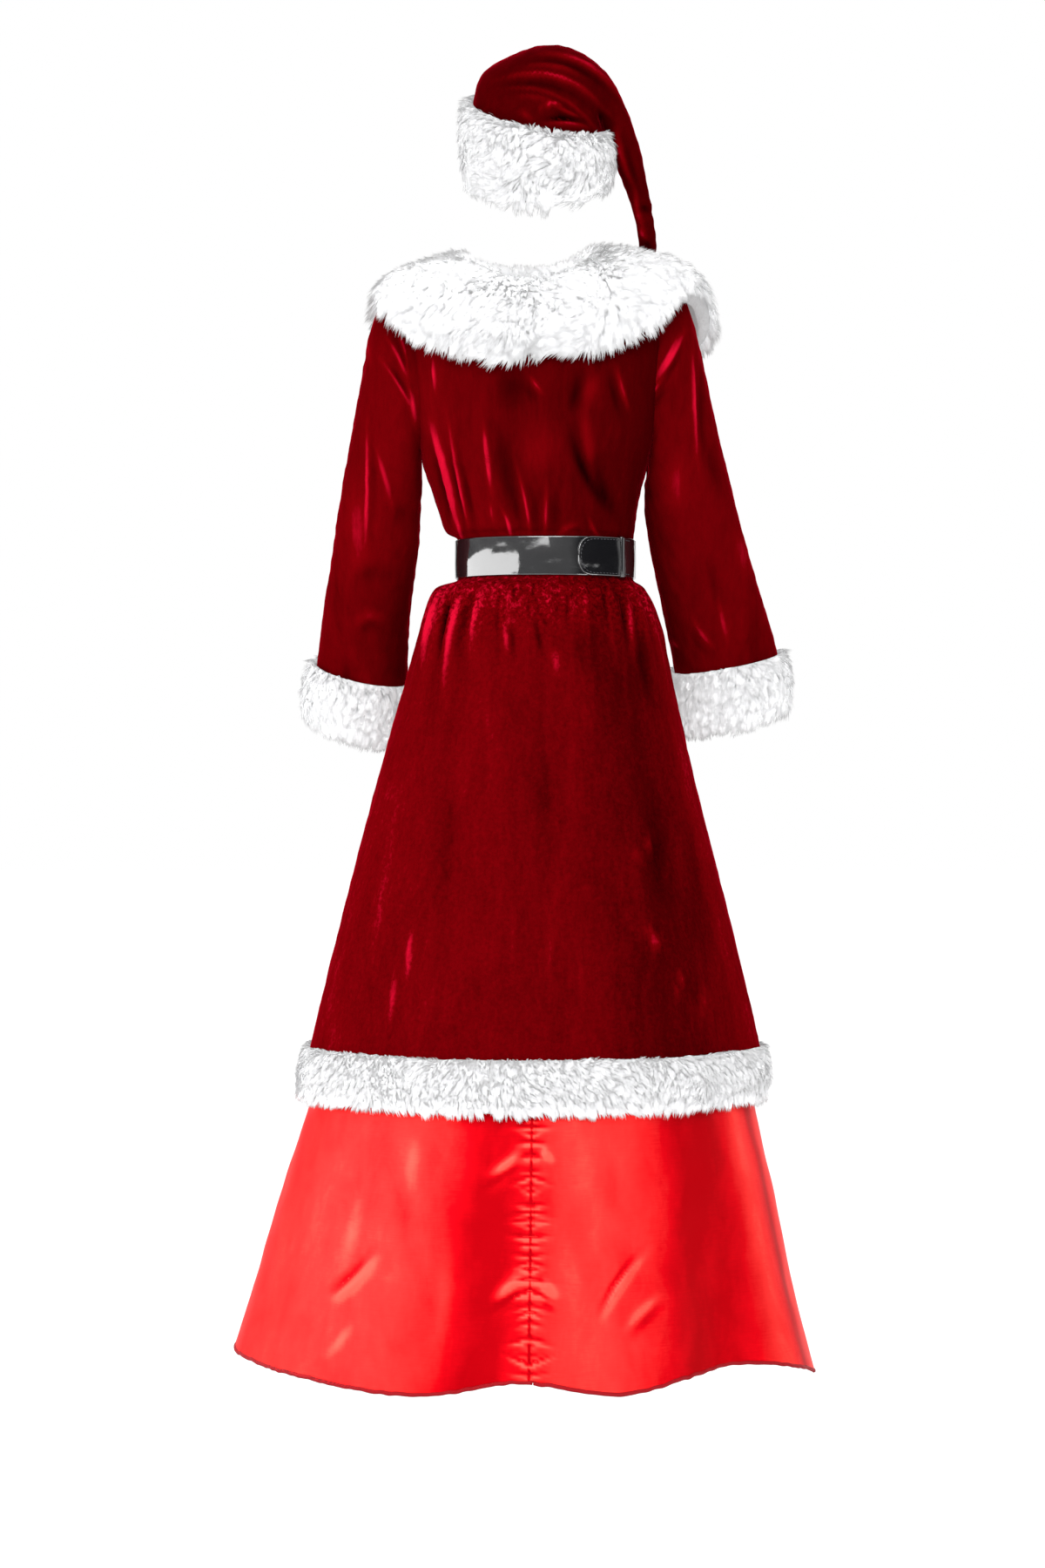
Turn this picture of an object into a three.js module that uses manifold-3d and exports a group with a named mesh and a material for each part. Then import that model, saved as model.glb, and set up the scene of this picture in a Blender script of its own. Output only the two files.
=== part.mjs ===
// Christmas costume dress: a long velvet dress with a satin lower tier, fur trim and a patent belt,
// with its hat. Millimetres, +Z up. The wearer faces -Y and the wearer's left is +X.
// The origin is the middle of the neck opening.
import * as THREE from 'three';
import { mergeVertices } from 'three/addons/utils/BufferGeometryUtils.js';
import Module from 'manifold-3d';

const wasm = await Module();
wasm.setup();

// ---- Driving dimensions ----
const GAP = 0.3;                 // between neighbouring pieces
const TRIM_SEAT = 0.8;           // under a trim, clear of the facets that it lies on
const VELVET = 2.2;              // wall of the pile fabric
const SATIN = 1.2;               // wall of the satin
const WAIST = -366;              // height of the waist seam
const VELVET_HEM = -1010;        // lower edge of the velvet skirt
const TIER_TOP = -986;           // where the satin tier is sewn inside the velvet skirt
const BELT_WIDTH = 47;
const BELT_THICKNESS = 2.4;
const BELT_MIDDLE = WAIST + 1;   // height of the belt's middle line
const BELT_SEAT = 2.1;           // from the velvet's waist ring to the inside of the belt
const TONGUE_END = 109;          // angle of the belt's rounded free end, degrees
const TONGUE_OVERLAP = 46;       // degrees of belt under that end
const TONGUE_SETTLE = 14;        // degrees in which the upper layer comes down to the velvet
const TONGUE_ROUND = 0.045;      // share of the belt's length in which its end is rounded
const KEEPER_ANGLE = 144;
const KEEPER_TURN = 4.6;         // the keeper's width, degrees round the waist
const KEEPER_THICKNESS = 1;
const CUFF_FUR = 14;             // reach of the pile on each trim
const HEM_FUR = 10;
const BAND_FUR = 17;
const EDGE_REACH = 0.25;         // share of that reach at the edges of a trim
const HEM_FUR_TOP = -956;
const HEM_FUR_BOTTOM = -1021;
const HEM_JOIN = 79;             // angle of the join in the hem trim
const BALL_RADIUS = 25;
const BALL_AT = { x: -136, y: -74, z: -14 };
const SEAM_ANGLE = 0.07;         // half the gap at a lengthwise seam, degrees
const COLLAR_SEAM_ANGLE = 0.12;  // the same at the collar's two ends and centre back

// ---- Facets ----
const TRUNK_COLUMNS = 12;        // in the front and in the back
const SLEEVE_COLUMNS = 12;       // round a sleeve
const HAT_COLUMNS = 12;          // round the hat
const SKIRT_STEP = 9;            // degrees between the skirt's columns
const BELT_COLUMNS = 39;
const BALL_COLUMNS = 12;
const BALL_RINGS = 8;
const PILE_RINGS = 4;            // from a trim's upper edge to its lower edge

// ---- Sections ----
// Body rings run round the wearer. z is the height at the sides; dipBack and dipFront say how much
// lower the ring hangs at the middle of the back and of the front. square is 2 on an ellipse.
const TRUNK = [
  { z: -2, x: 14, half: 74, back: 56, front: 86, dipBack: 28, dipFront: 60, square: 2 },
  { z: -13, x: 11, half: 98, back: 66, front: 96, dipBack: 31, dipFront: 60, square: 2 },
  { z: -28, x: 7, half: 131, back: 79, front: 106, dipBack: 34, dipFront: 60, square: 2.1 },
  { z: -41, x: 4, half: 151, back: 89, front: 113, dipBack: 39, dipFront: 61, square: 2.3 },
  { z: -60, x: 3, half: 160, back: 97, front: 119, dipBack: 40, dipFront: 58, square: 2.4 },
  { z: -100, x: 2, half: 162, back: 105, front: 125, dipBack: 28, dipFront: 42, square: 2.5 },
  { z: -155, x: 1, half: 157, back: 109, front: 127, dipBack: 10, dipFront: 14, square: 2.5 },
  { z: -215, x: 1, half: 147, back: 107, front: 122, dipBack: 0, dipFront: 0, square: 2.4 },
  { z: -255, x: 3, half: 136, back: 103, front: 114, dipBack: 0, dipFront: 0, square: 2.3 },
  { z: -292, x: 1, half: 124, back: 98, front: 105, dipBack: 0, dipFront: 0, square: 2.2 },
  { z: -328, x: -2, half: 116, back: 93, front: 96, dipBack: 0, dipFront: 0, square: 2.1 },
  { z: -340, x: -9, half: 107, back: 85, front: 85, dipBack: 0, dipFront: 0, square: 2.1 },
  { z: WAIST + GAP / 2, x: -9, half: 106, back: 84, front: 84, dipBack: 0, dipFront: 0, square: 2.1 },
];

const SKIRT = [
  { z: WAIST - GAP / 2, x: -9, half: 106, back: 84, front: 84, square: 2.1 },
  { z: -389, x: -9, half: 107, back: 85, front: 85, square: 2.1 },
  { z: -404, x: -2, half: 127, back: 100, front: 99, square: 2.1 },
  { z: -441, x: -3, half: 144, back: 113, front: 110, square: 2.1 },
  { z: -516, x: -1, half: 164, back: 133, front: 127, square: 2.05 },
  { z: -620, x: 2, half: 190, back: 158, front: 150, square: 2 },
  { z: -776, x: 3, half: 229, back: 194, front: 183, square: 2 },
  { z: -955, x: 4, half: 270, back: 235, front: 219, square: 2 },
  { z: VELVET_HEM, x: 7, half: 273, back: 241, front: 225, square: 2 },
  { z: -1026, x: 8, half: 274, back: 243, front: 227, square: 2 },
];

// The tier's first two rings are sewn to the inside of the velvet and take their shape from it.
const TIER = [
  { z: TIER_TOP, x: 5, half: 269, back: 235, front: 219, square: 2 },
  { z: VELVET_HEM, x: 7, half: 271, back: 238, front: 222, square: 2 },
  { z: -1036, x: 8, half: 273, back: 241, front: 227, square: 2 },
  { z: -1140, x: 13, half: 302, back: 256, front: 244, square: 2 },
  { z: -1245, x: 18, half: 328, back: 269, front: 260, square: 2 },
  { z: -1352, x: 21, half: 359, back: 281, front: 277, square: 2 },
];

// The largest folds of each skirt: at and width in degrees round the body, depth at the hem
// (out is positive), and the height where the fold has died away.
const SKIRT_FOLDS = [
  { at: 14, width: 11, depth: 7, top: -520 },
  { at: 43, width: 12, depth: -8, top: -450 },
  { at: 68, width: 9, depth: 6, top: -560 },
  { at: 96, width: 10, depth: -6, top: -430 },
  { at: 121, width: 12, depth: 7, top: -600 },
  { at: 149, width: 11, depth: -8, top: -480 },
  { at: 171, width: 9, depth: 6, top: -640 },
  { at: 204, width: 12, depth: -7, top: -470 },
  { at: 236, width: 11, depth: 8, top: -560 },
  { at: 268, width: 12, depth: -7, top: -440 },
  { at: 301, width: 10, depth: 8, top: -590 },
  { at: 333, width: 11, depth: -6, top: -500 },
];

const TIER_FOLDS = [
  { at: 22, width: 13, depth: -8, top: -1040 },
  { at: 58, width: 12, depth: 10, top: -1015 },
  { at: 81, width: 9, depth: -13, top: -1015 },
  { at: 104, width: 10, depth: 10, top: -1015 },
  { at: 135, width: 12, depth: -24, top: -1015 },
  { at: 153, width: 10, depth: 10, top: -1030 },
  { at: 196, width: 12, depth: -10, top: -1015 },
  { at: 226, width: 12, depth: 12, top: -1020 },
  { at: 262, width: 13, depth: -12, top: -1015 },
  { at: 297, width: 11, depth: 12, top: -1040 },
  { at: 332, width: 12, depth: -9, top: -1015 },
];

// Height of the tier's uneven lower edge round the body.
const TIER_HEM = [
  { at: 0, z: -1322 }, { at: 45, z: -1326 }, { at: 72, z: -1334 }, { at: 90, z: -1318 },
  { at: 108, z: -1332 }, { at: 124, z: -1322 }, { at: 142, z: -1315 }, { at: 160, z: -1332 },
  { at: 180, z: -1352 }, { at: 205, z: -1344 }, { at: 240, z: -1332 }, { at: 270, z: -1336 },
  { at: 315, z: -1328 }, { at: 360, z: -1322 },
];

// Tube rings stand across a limb or the hat. in and out are the ring's two ends seen from behind
// (x, z), y is its middle, deep its half depth, and sag how much lower its rear edge hangs.
const SLEEVE_LEFT = [
  { inX: 132, inZ: -226, outX: 132, outZ: -46, y: 0, deep: 58, sag: 0 },
  { inX: 138, inZ: -234, outX: 167, outZ: -41, y: 0, deep: 60, sag: 0 },
  { inX: 141, inZ: -241, outX: 190, outZ: -52, y: 0, deep: 61, sag: 0 },
  { inX: 141.5, inZ: -248, outX: 204, outZ: -84, y: -1, deep: 61, sag: 0 },
  { inX: 142, inZ: -259, outX: 216, outZ: -145, y: -5, deep: 59, sag: 1 },
  { inX: 142, inZ: -276, outX: 231, outZ: -225, y: -13, deep: 56, sag: 4 },
  { inX: 144, inZ: -303, outX: 243, outZ: -290, y: -22, deep: 55, sag: 6 },
  { inX: 147, inZ: -350, outX: 253, outZ: -352, y: -36, deep: 55, sag: 8 },
  { inX: 158, inZ: -428, outX: 265, outZ: -420, y: -58, deep: 55, sag: 11 },
  { inX: 163, inZ: -512, outX: 275, outZ: -488, y: -84, deep: 53, sag: 13 },
  { inX: 168, inZ: -580, outX: 283, outZ: -548, y: -102, deep: 53, sag: 14 },
];

const SLEEVE_RIGHT = [
  { inX: -130, inZ: -228, outX: -130, outZ: -46, y: 0, deep: 58, sag: 0 },
  { inX: -133, inZ: -240, outX: -160, outZ: -40, y: 0, deep: 60, sag: 0 },
  { inX: -133, inZ: -252, outX: -180, outZ: -51, y: 0, deep: 61, sag: 0 },
  { inX: -132, inZ: -263, outX: -192, outZ: -84, y: -1, deep: 61, sag: 0 },
  { inX: -130, inZ: -277, outX: -206, outZ: -145, y: -5, deep: 59, sag: 1 },
  { inX: -130, inZ: -292, outX: -224, outZ: -225, y: -11, deep: 57, sag: 2 },
  { inX: -132, inZ: -315, outX: -241, outZ: -290, y: -19, deep: 57, sag: 3 },
  { inX: -138, inZ: -352, outX: -257, outZ: -350, y: -30, deep: 58, sag: 4 },
  { inX: -155, inZ: -428, outX: -280, outZ: -420, y: -49, deep: 58, sag: 6 },
  { inX: -170, inZ: -500, outX: -297, outZ: -476, y: -68, deep: 57, sag: 8 },
  { inX: -180, inZ: -564, outX: -303, outZ: -540, y: -84, deep: 57, sag: 9 },
];

// The hat is worn tipped back, its crown flopped over to the right shoulder.
const HAT = [
  { inX: -80, inZ: 98, outX: 78, outZ: 100, y: 0, deep: 96, sag: 45 },
  { inX: -80, inZ: 140, outX: 79, outZ: 150, y: 0, deep: 96, sag: 42 },
  { inX: -80, inZ: 160, outX: 79, outZ: 194, y: 0, deep: 94, sag: 38 },
  { inX: -79, inZ: 165, outX: 68, outZ: 228, y: -1, deep: 90, sag: 30 },
  { inX: -78, inZ: 167, outX: 38, outZ: 249, y: -2, deep: 86, sag: 22 },
  { inX: -77, inZ: 168, outX: 0, outZ: 263, y: -3, deep: 79, sag: 14 },
  { inX: -76, inZ: 168.5, outX: -33, outZ: 262, y: -4, deep: 71, sag: 8 },
  { inX: -75.5, inZ: 168, outX: -62, outZ: 248, y: -3, deep: 61, sag: 4 },
  { inX: -75.5, inZ: 166, outX: -88, outZ: 223, y: 0, deep: 50, sag: 2 },
  { inX: -77, inZ: 161, outX: -104, outZ: 191, y: 6, deep: 40, sag: 0 },
  { inX: -83, inZ: 148, outX: -115, outZ: 163, y: 12, deep: 32, sag: 0 },
  { inX: -90, inZ: 120, outX: -125, outZ: 130, y: 14, deep: 25, sag: 0 },
  { inX: -105, inZ: 88, outX: -133, outZ: 92, y: 6, deep: 19, sag: 0 },
  { inX: -119, inZ: 52, outX: -141, outZ: 54, y: -10, deep: 14, sag: 0 },
  { inX: -124, inZ: 22, outX: -146, outZ: 24, y: -30, deep: 11, sag: 0 },
  { inX: -126, inZ: -8, outX: -144, outZ: -2, y: -54, deep: 9, sag: 0 },
];
const TAIL_RING = 6;             // the crown's ring where it narrows to its tail
const BAND_RING = 2;             // the crown's ring at the upper edge of its band
const HEAD_RING = 4;             // the last ring of a sleeve that stands in the armhole

// The yoke is the trunk with the sleeve heads on it, which the collar lies on. COLLAR has, round
// the body, the yoke ring where the collar's lower edge lies and the reach of its pile by the neck and there.
const YOKE = [
  { z: -2, x: 14, half: 74, back: 56, front: 86, dipBack: 28, dipFront: 60, square: 2 },
  { z: -13, x: 11, half: 98, back: 66, front: 96, dipBack: 31, dipFront: 60, square: 2 },
  { z: -28, x: 7, half: 132, back: 79, front: 106, dipBack: 34, dipFront: 60, square: 2.1 },
  { z: -40, x: 4, half: 160, back: 89, front: 113, dipBack: 39, dipFront: 61, square: 2.25 },
  { z: -54, x: 4, half: 185, back: 97, front: 119, dipBack: 42, dipFront: 60, square: 2.35 },
  { z: -80, x: 3, half: 202, back: 104, front: 124, dipBack: 34, dipFront: 50, square: 2.4 },
  { z: -125, x: 3, half: 208, back: 108, front: 126, dipBack: 20, dipFront: 28, square: 2.4 },
];
const COLLAR = [
  { at: 0, low: -51, neck: 18, edge: 37 }, { at: 22, low: -57, neck: 17, edge: 32 },
  { at: 45, low: -74, neck: 17, edge: 22 }, { at: 65, low: -98, neck: 18, edge: 20 },
  { at: 80, low: -119, neck: 18, edge: 20 }, { at: 90, low: -108, neck: 18, edge: 19 },
  { at: 102, low: -104, neck: 19, edge: 21 }, { at: 122, low: -73, neck: 21, edge: 25 },
  { at: 140, low: -56, neck: 24, edge: 33 }, { at: 160, low: -51, neck: 28, edge: 45 },
  { at: 180, low: -64, neck: 30, edge: 50 }, { at: 198, low: -94, neck: 27, edge: 36 },
  { at: 225, low: -98, neck: 20, edge: 22 }, { at: 250, low: -106, neck: 18, edge: 20 },
  { at: 270, low: -98, neck: 17, edge: 18 }, { at: 290, low: -106, neck: 17, edge: 20 },
  { at: 315, low: -88, neck: 16, edge: 22 }, { at: 338, low: -64, neck: 15, edge: 28 },
  { at: 360, low: -51, neck: 18, edge: 37 },
];

// ---- Interpolation ----
const rad = THREE.MathUtils.degToRad;
const lerp = THREE.MathUtils.lerp;
const clamp = THREE.MathUtils.clamp;

function cubic(a, b, c, d, t) {
  const slopeB = (c - a) / 2;
  const slopeC = (d - b) / 2;
  const t2 = t * t;
  const t3 = t2 * t;
  return (2 * t3 - 3 * t2 + 1) * b + (t3 - 2 * t2 + t) * slopeB
    + (3 * t2 - 2 * t3) * c + (t3 - t2) * slopeC;
}

// The row at a fractional index, each column smoothed on its own.
function rowAt(rows, index) {
  const i = clamp(Math.floor(index), 0, rows.length - 2);
  const pick = (k) => rows[clamp(k, 0, rows.length - 1)];
  const row = {};
  for (const key of Object.keys(rows[0])) {
    row[key] = cubic(pick(i - 1)[key], pick(i)[key], pick(i + 1)[key], pick(i + 2)[key], index - i);
  }
  return row;
}

// The fractional index at which a steadily falling or rising column reaches a value.
function indexAt(rows, key, value) {
  const rising = rows[rows.length - 1][key] > rows[0][key];
  let low = 0;
  let high = rows.length - 1;
  for (let step = 0; step < 30; step += 1) {
    const middle = (low + high) / 2;
    const short = rising ? rowAt(rows, middle)[key] < value : rowAt(rows, middle)[key] > value;
    if (short) low = middle; else high = middle;
  }
  return (low + high) / 2;
}

// ---- Surfaces ----
function ringPoint(row, angle, push) {
  const c = Math.cos(angle);
  const s = Math.sin(angle);
  const power = 2 / row.square;
  const across = Math.sign(c) * Math.abs(c) ** power;
  const along = Math.sign(s) * Math.abs(s) ** power;
  const depth = s > 0 ? row.back : row.front;
  const dip = (s > 0 ? row.dipBack : row.dipFront) || 0;
  return new THREE.Vector3(
    row.x + (row.half + push) * across,
    (depth + push) * along,
    row.z - dip * Math.abs(s) ** 1.4,
  );
}

function foldPush(folds, degrees, z, hem) {
  let push = 0;
  for (const fold of folds) {
    const turn = ((degrees - fold.at + 540) % 360) - 180;
    const grown = clamp((fold.top - z) / (fold.top - hem), 0, 1.1);
    push += fold.depth * Math.exp(-((turn / fold.width) ** 2)) * grown ** 1.3;
  }
  return push;
}

// A body surface over its angle in degrees and the fractional index of its ring.
function bodySurface(rows, folds = [], hem = 0) {
  return (degrees, index) => {
    const row = rowAt(rows, index);
    return ringPoint(row, rad(degrees), foldPush(folds, degrees, row.z, hem));
  };
}

// The same surface moved out along its own normal.
function moved(surface, distance) {
  return (degrees, index) => {
    const point = surface(degrees, index);
    const round = surface(degrees + 0.5, index).sub(surface(degrees - 0.5, index));
    const down = surface(degrees, index + 0.01).sub(surface(degrees, Math.max(0, index - 0.01)));
    const normal = down.cross(round).normalize();
    return point.addScaledVector(normal, distance);
  };
}

// The surface that a mesh with columns every few degrees has between its vertices.
function faceted(surface, step) {
  return (degrees, index) => {
    const column = Math.floor(degrees / step) * step;
    const ring = Math.floor(index);
    const across = (degrees - column) / step;
    const near = surface(column, ring).lerp(surface(column + step, ring), across);
    const far = surface(column, ring + 1).lerp(surface(column + step, ring + 1), across);
    return near.lerp(far, index - ring);
  };
}

// A tube surface over its angle (0 at its outer end, 90 behind) and the index of its ring.
function tubeSurface(rows, grow) {
  return (degrees, index) => {
    const row = rowAt(rows, index);
    const angle = rad(degrees);
    const width = Math.hypot(row.outX - row.inX, row.outZ - row.inZ);
    const across = Math.cos(angle) * (0.5 + grow / width);
    return new THREE.Vector3(
      (row.inX + row.outX) / 2 + (row.outX - row.inX) * across,
      row.y + (row.deep + grow) * Math.sin(angle),
      (row.inZ + row.outZ) / 2 + (row.outZ - row.inZ) * across - row.sag * Math.sin(angle),
    );
  };
}

// ---- Closed meshes from surfaces ----
function signedVolume(points, faces) {
  let sum = 0;
  for (const [a, b, c] of faces) sum += points[a].dot(points[b].clone().cross(points[c])) / 6;
  return sum;
}

function geometryFrom(points, faces) {
  const turned = signedVolume(points, faces) < 0 ? faces.map(([a, b, c]) => [a, c, b]) : faces;
  const geometry = new THREE.BufferGeometry();
  geometry.setAttribute('position', new THREE.Float32BufferAttribute(
    points.flatMap((p) => [p.x, p.y, p.z]), 3));
  geometry.setIndex(turned.flat());
  return geometry;
}

function shareOf(i, count) {
  return i / count;
}

// A wall between an outer and an inner surface, each a function of the shares u round and v down.
function wall(outer, inner, round, down, closed, spread = shareOf) {
  const columns = closed ? round : round + 1;
  const points = [];
  const faces = [];
  for (const surface of [outer, inner]) {
    for (let j = 0; j <= down; j += 1) {
      for (let i = 0; i < columns; i += 1) points.push(surface(i / round, spread(j, down)));
    }
  }
  const layer = columns * (down + 1);
  const at = (side, i, j) => side * layer + j * columns + (i % columns);
  const quad = (a, b, c, d) => faces.push([a, b, c], [a, c, d]);
  for (let j = 0; j < down; j += 1) {
    for (let i = 0; i < round; i += 1) {
      quad(at(0, i, j), at(0, i + 1, j), at(0, i + 1, j + 1), at(0, i, j + 1));
      quad(at(1, i, j), at(1, i, j + 1), at(1, i + 1, j + 1), at(1, i + 1, j)); // split like the outer one
    }
  }
  for (let i = 0; i < round; i += 1) {
    quad(at(1, i, 0), at(1, i + 1, 0), at(0, i + 1, 0), at(0, i, 0));
    quad(at(0, i, down), at(0, i + 1, down), at(1, i + 1, down), at(1, i, down));
  }
  if (!closed) {
    for (let j = 0; j < down; j += 1) {
      quad(at(0, 0, j), at(0, 0, j + 1), at(1, 0, j + 1), at(1, 0, j));
      quad(at(1, round, j), at(1, round, j + 1), at(0, round, j + 1), at(0, round, j));
    }
  }
  return geometryFrom(points, faces);
}

// A solid inside a closed surface, with a flat fan over each end.
function plug(surface, round, down) {
  const points = [];
  const faces = [];
  for (let j = 0; j <= down; j += 1) {
    for (let i = 0; i < round; i += 1) points.push(surface(i / round, j / down));
  }
  const at = (i, j) => j * round + (i % round);
  for (const [j, flip] of [[0, true], [down, false]]) {
    const middle = new THREE.Vector3();
    for (let i = 0; i < round; i += 1) middle.addScaledVector(points[at(i, j)], 1 / round);
    points.push(middle);
    const centre = points.length - 1;
    for (let i = 0; i < round; i += 1) {
      faces.push(flip ? [centre, at(i + 1, j), at(i, j)] : [centre, at(i, j), at(i + 1, j)]);
    }
  }
  for (let j = 0; j < down; j += 1) {
    for (let i = 0; i < round; i += 1) {
      faces.push([at(i, j), at(i + 1, j), at(i + 1, j + 1)], [at(i, j), at(i + 1, j + 1), at(i, j + 1)]);
    }
  }
  return geometryFrom(points, faces);
}

// ---- Booleans ----
function toSolid(geometry) {
  const bare = geometry.clone();
  bare.deleteAttribute('normal');
  bare.deleteAttribute('uv');
  const merged = mergeVertices(bare, 1e-4);
  return new wasm.Manifold(new wasm.Mesh({
    numProp: 3,
    vertProperties: new Float32Array(merged.attributes.position.array),
    triVerts: new Uint32Array(merged.index.array),
  }));
}

function toGeometry(solid) {
  const mesh = solid.getMesh();
  const geometry = new THREE.BufferGeometry();
  geometry.setAttribute('position', new THREE.BufferAttribute(new Float32Array(mesh.vertProperties), 3));
  geometry.setIndex(new THREE.BufferAttribute(new Uint32Array(mesh.triVerts), 1));
  return geometry;
}

function cut(geometry, ...cutters) {
  let solid = toSolid(geometry);
  for (const cutter of cutters) solid = solid.subtract(toSolid(cutter));
  return toGeometry(solid);
}

// ---- Materials and the object ----
const MATERIALS = {
  velvet: { color: 0x7a0612, roughness: 0.85, metalness: 0 },
  satin: { color: 0xe02018, roughness: 0.35, metalness: 0 },
  fur: { color: 0xf4f4f6, roughness: 0.95, metalness: 0 },
  patent: { color: 0x0a0a0c, roughness: 0.12, metalness: 0 },
};
const dress = new THREE.Group();

function place(name, cloth, geometry) {
  const material = new THREE.MeshStandardMaterial({ ...MATERIALS[cloth], side: THREE.DoubleSide });
  const mesh = new THREE.Mesh(geometry, material);
  mesh.name = name;
  dress.add(mesh);
}

// A panel of cloth between two angles of a body surface, ring by ring down to its hem's index.
function panel(surface, thickness, span, round, down) {
  const { from, to, hem } = span;
  const angleOf = (u) => lerp(from + SEAM_ANGLE, to - SEAM_ANGLE, u);
  const indexOf = (u, v) => (v < 1 ? v * down : hem(angleOf(u)));
  const inside = moved(surface, -thickness);
  return wall(
    (u, v) => surface(angleOf(u), indexOf(u, v)),
    (u, v) => inside(angleOf(u), indexOf(u, v)),
    round, down, false,
  );
}

const trunk = bodySurface(TRUNK);
const skirt = bodySurface(SKIRT, SKIRT_FOLDS, VELVET_HEM);
const yoke = bodySurface(YOKE);

// ---- Bodice with its armholes ----
const TRUNK_END = TRUNK.length - 1;

function sleeveCore(rows, grow) {
  const surface = tubeSurface(rows, grow);
  return plug((u, v) => surface(360 * u, v * HEAD_RING), SLEEVE_COLUMNS, HEAD_RING);
}

function buildBodice() {
  const holes = [sleeveCore(SLEEVE_LEFT, -VELVET), sleeveCore(SLEEVE_RIGHT, -VELVET)];
  const halves = [['bodice_back', 0], ['bodice_front', 180]];
  for (const [name, from] of halves) {
    const span = { from, to: from + 180, hem: () => TRUNK_END };
    place(name, 'velvet', cut(panel(trunk, VELVET, span, TRUNK_COLUMNS, TRUNK_END), ...holes));
  }
}

// ---- Sleeves and cuffs ----
function trunkCore() {
  const grown = moved(trunk, GAP);
  return plug((u, v) => grown(360 * u, v * TRUNK_END), 2 * TRUNK_COLUMNS, TRUNK_END);
}

function buildSleeves() {
  const core = trunkCore();
  for (const [side, rows] of [['left', SLEEVE_LEFT], ['right', SLEEVE_RIGHT]]) {
    const last = rows.length - 1;
    place(`sleeve_${side}`, 'velvet', cut(tube(rows, SLEEVE_COLUMNS), core));
    place(`cuff_${side}`, 'fur', furTube(rows, last - 1, last, CUFF_FUR, SLEEVE_COLUMNS));
  }
}

// Share of its full reach that pile has from one edge of a trim to the other, like a soft roll.
function pile(v) {
  return EDGE_REACH + (1 - EDGE_REACH) * Math.sqrt(Math.max(0, 1 - (2 * v - 1) ** 2));
}

function pileSpread(j, count) {
  return (1 - Math.cos(Math.PI * j / count)) / 2;
}

// A velvet tube through all of its rings.
function tube(rows, round) {
  const rings = rows.length - 1;
  const outer = tubeSurface(rows, 0);
  const inner = tubeSurface(rows, -VELVET);
  return wall((u, v) => outer(360 * u, v * rings), (u, v) => inner(360 * u, v * rings), round, rings, true);
}

// A roll of pile round a velvet tube, from one ring index to another.
function furTube(rows, from, to, reach, round) {
  const seat = faceted(tubeSurface(rows, TRIM_SEAT), 360 / round);
  const outer = (u, v) => tubeSurface(rows, TRIM_SEAT + reach * pile(v))(360 * u, lerp(from, to, v));
  const inner = (u, v) => seat(360 * u, lerp(from, to, v));
  return wall(outer, inner, round, PILE_RINGS, true, pileSpread);
}

// ---- Skirt, tier and hem trim ----
const freeTier = bodySurface(TIER, TIER_FOLDS, TIER[TIER.length - 1].z);
const sewnTier = faceted(moved(skirt, -VELVET - TRIM_SEAT), SKIRT_STEP);
const sewnRing = indexAt(SKIRT, 'z', TIER_TOP);
const hemRing = SKIRT.length - 2;
const beforeHem = hemRing - 1e-6; // still on the facets above the hem

function tier(degrees, index) {
  if (index > 1) return freeTier(degrees, index);
  return sewnTier(degrees, lerp(sewnRing, beforeHem, index));
}

function tierHem(degrees) {
  return indexAt(TIER, 'z', rowAt(TIER_HEM, indexAt(TIER_HEM, 'at', degrees)).z);
}

function buildSkirt() {
  for (const [name, from] of [['skirt_back', 0], ['skirt_front', 180]]) {
    const span = { from, to: from + 180, hem: () => hemRing };
    place(name, 'velvet', panel(skirt, VELVET, span, 180 / SKIRT_STEP, hemRing));
  }
  const gores = [['tier_back_left', 0, 90], ['tier_back_right', 90, 180], ['tier_front', 180, 360]];
  for (const [name, from, to] of gores) {
    const round = (to - from) / SKIRT_STEP;
    place(name, 'satin', panel(tier, SATIN, { from, to, hem: tierHem }, round, TIER.length - 1));
  }
}

function buildHemTrim() {
  const columns = 360 / SKIRT_STEP + 1;
  const first = Math.ceil(HEM_JOIN / SKIRT_STEP) * SKIRT_STEP;
  const angleOf = (u) => {
    const column = Math.round(u * columns);
    if (column === 0) return HEM_JOIN + SEAM_ANGLE;
    if (column === columns) return HEM_JOIN + 360 - SEAM_ANGLE;
    return first + (column - 1) * SKIRT_STEP;
  };
  const indexOf = (v) => indexAt(SKIRT, 'z', lerp(HEM_FUR_TOP, HEM_FUR_BOTTOM, v));
  const seat = faceted(moved(skirt, TRIM_SEAT), SKIRT_STEP);
  const outer = (u, v) => moved(skirt, TRIM_SEAT + HEM_FUR * pile(v))(angleOf(u), indexOf(v));
  const inner = (u, v) => seat(angleOf(u), indexOf(v));
  place('hem_trim', 'fur', wall(outer, inner, columns, PILE_RINGS - 1, false, pileSpread));
}

// ---- Collar ----
function collarAt(degrees) {
  const turn = ((degrees % 360) + 360) % 360;
  return rowAt(COLLAR, indexAt(COLLAR, 'at', turn));
}

function ballOf(radius) {
  const ball = new THREE.SphereGeometry(radius, BALL_COLUMNS, BALL_RINGS);
  return ball.translate(BALL_AT.x, BALL_AT.y, BALL_AT.z);
}

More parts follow.
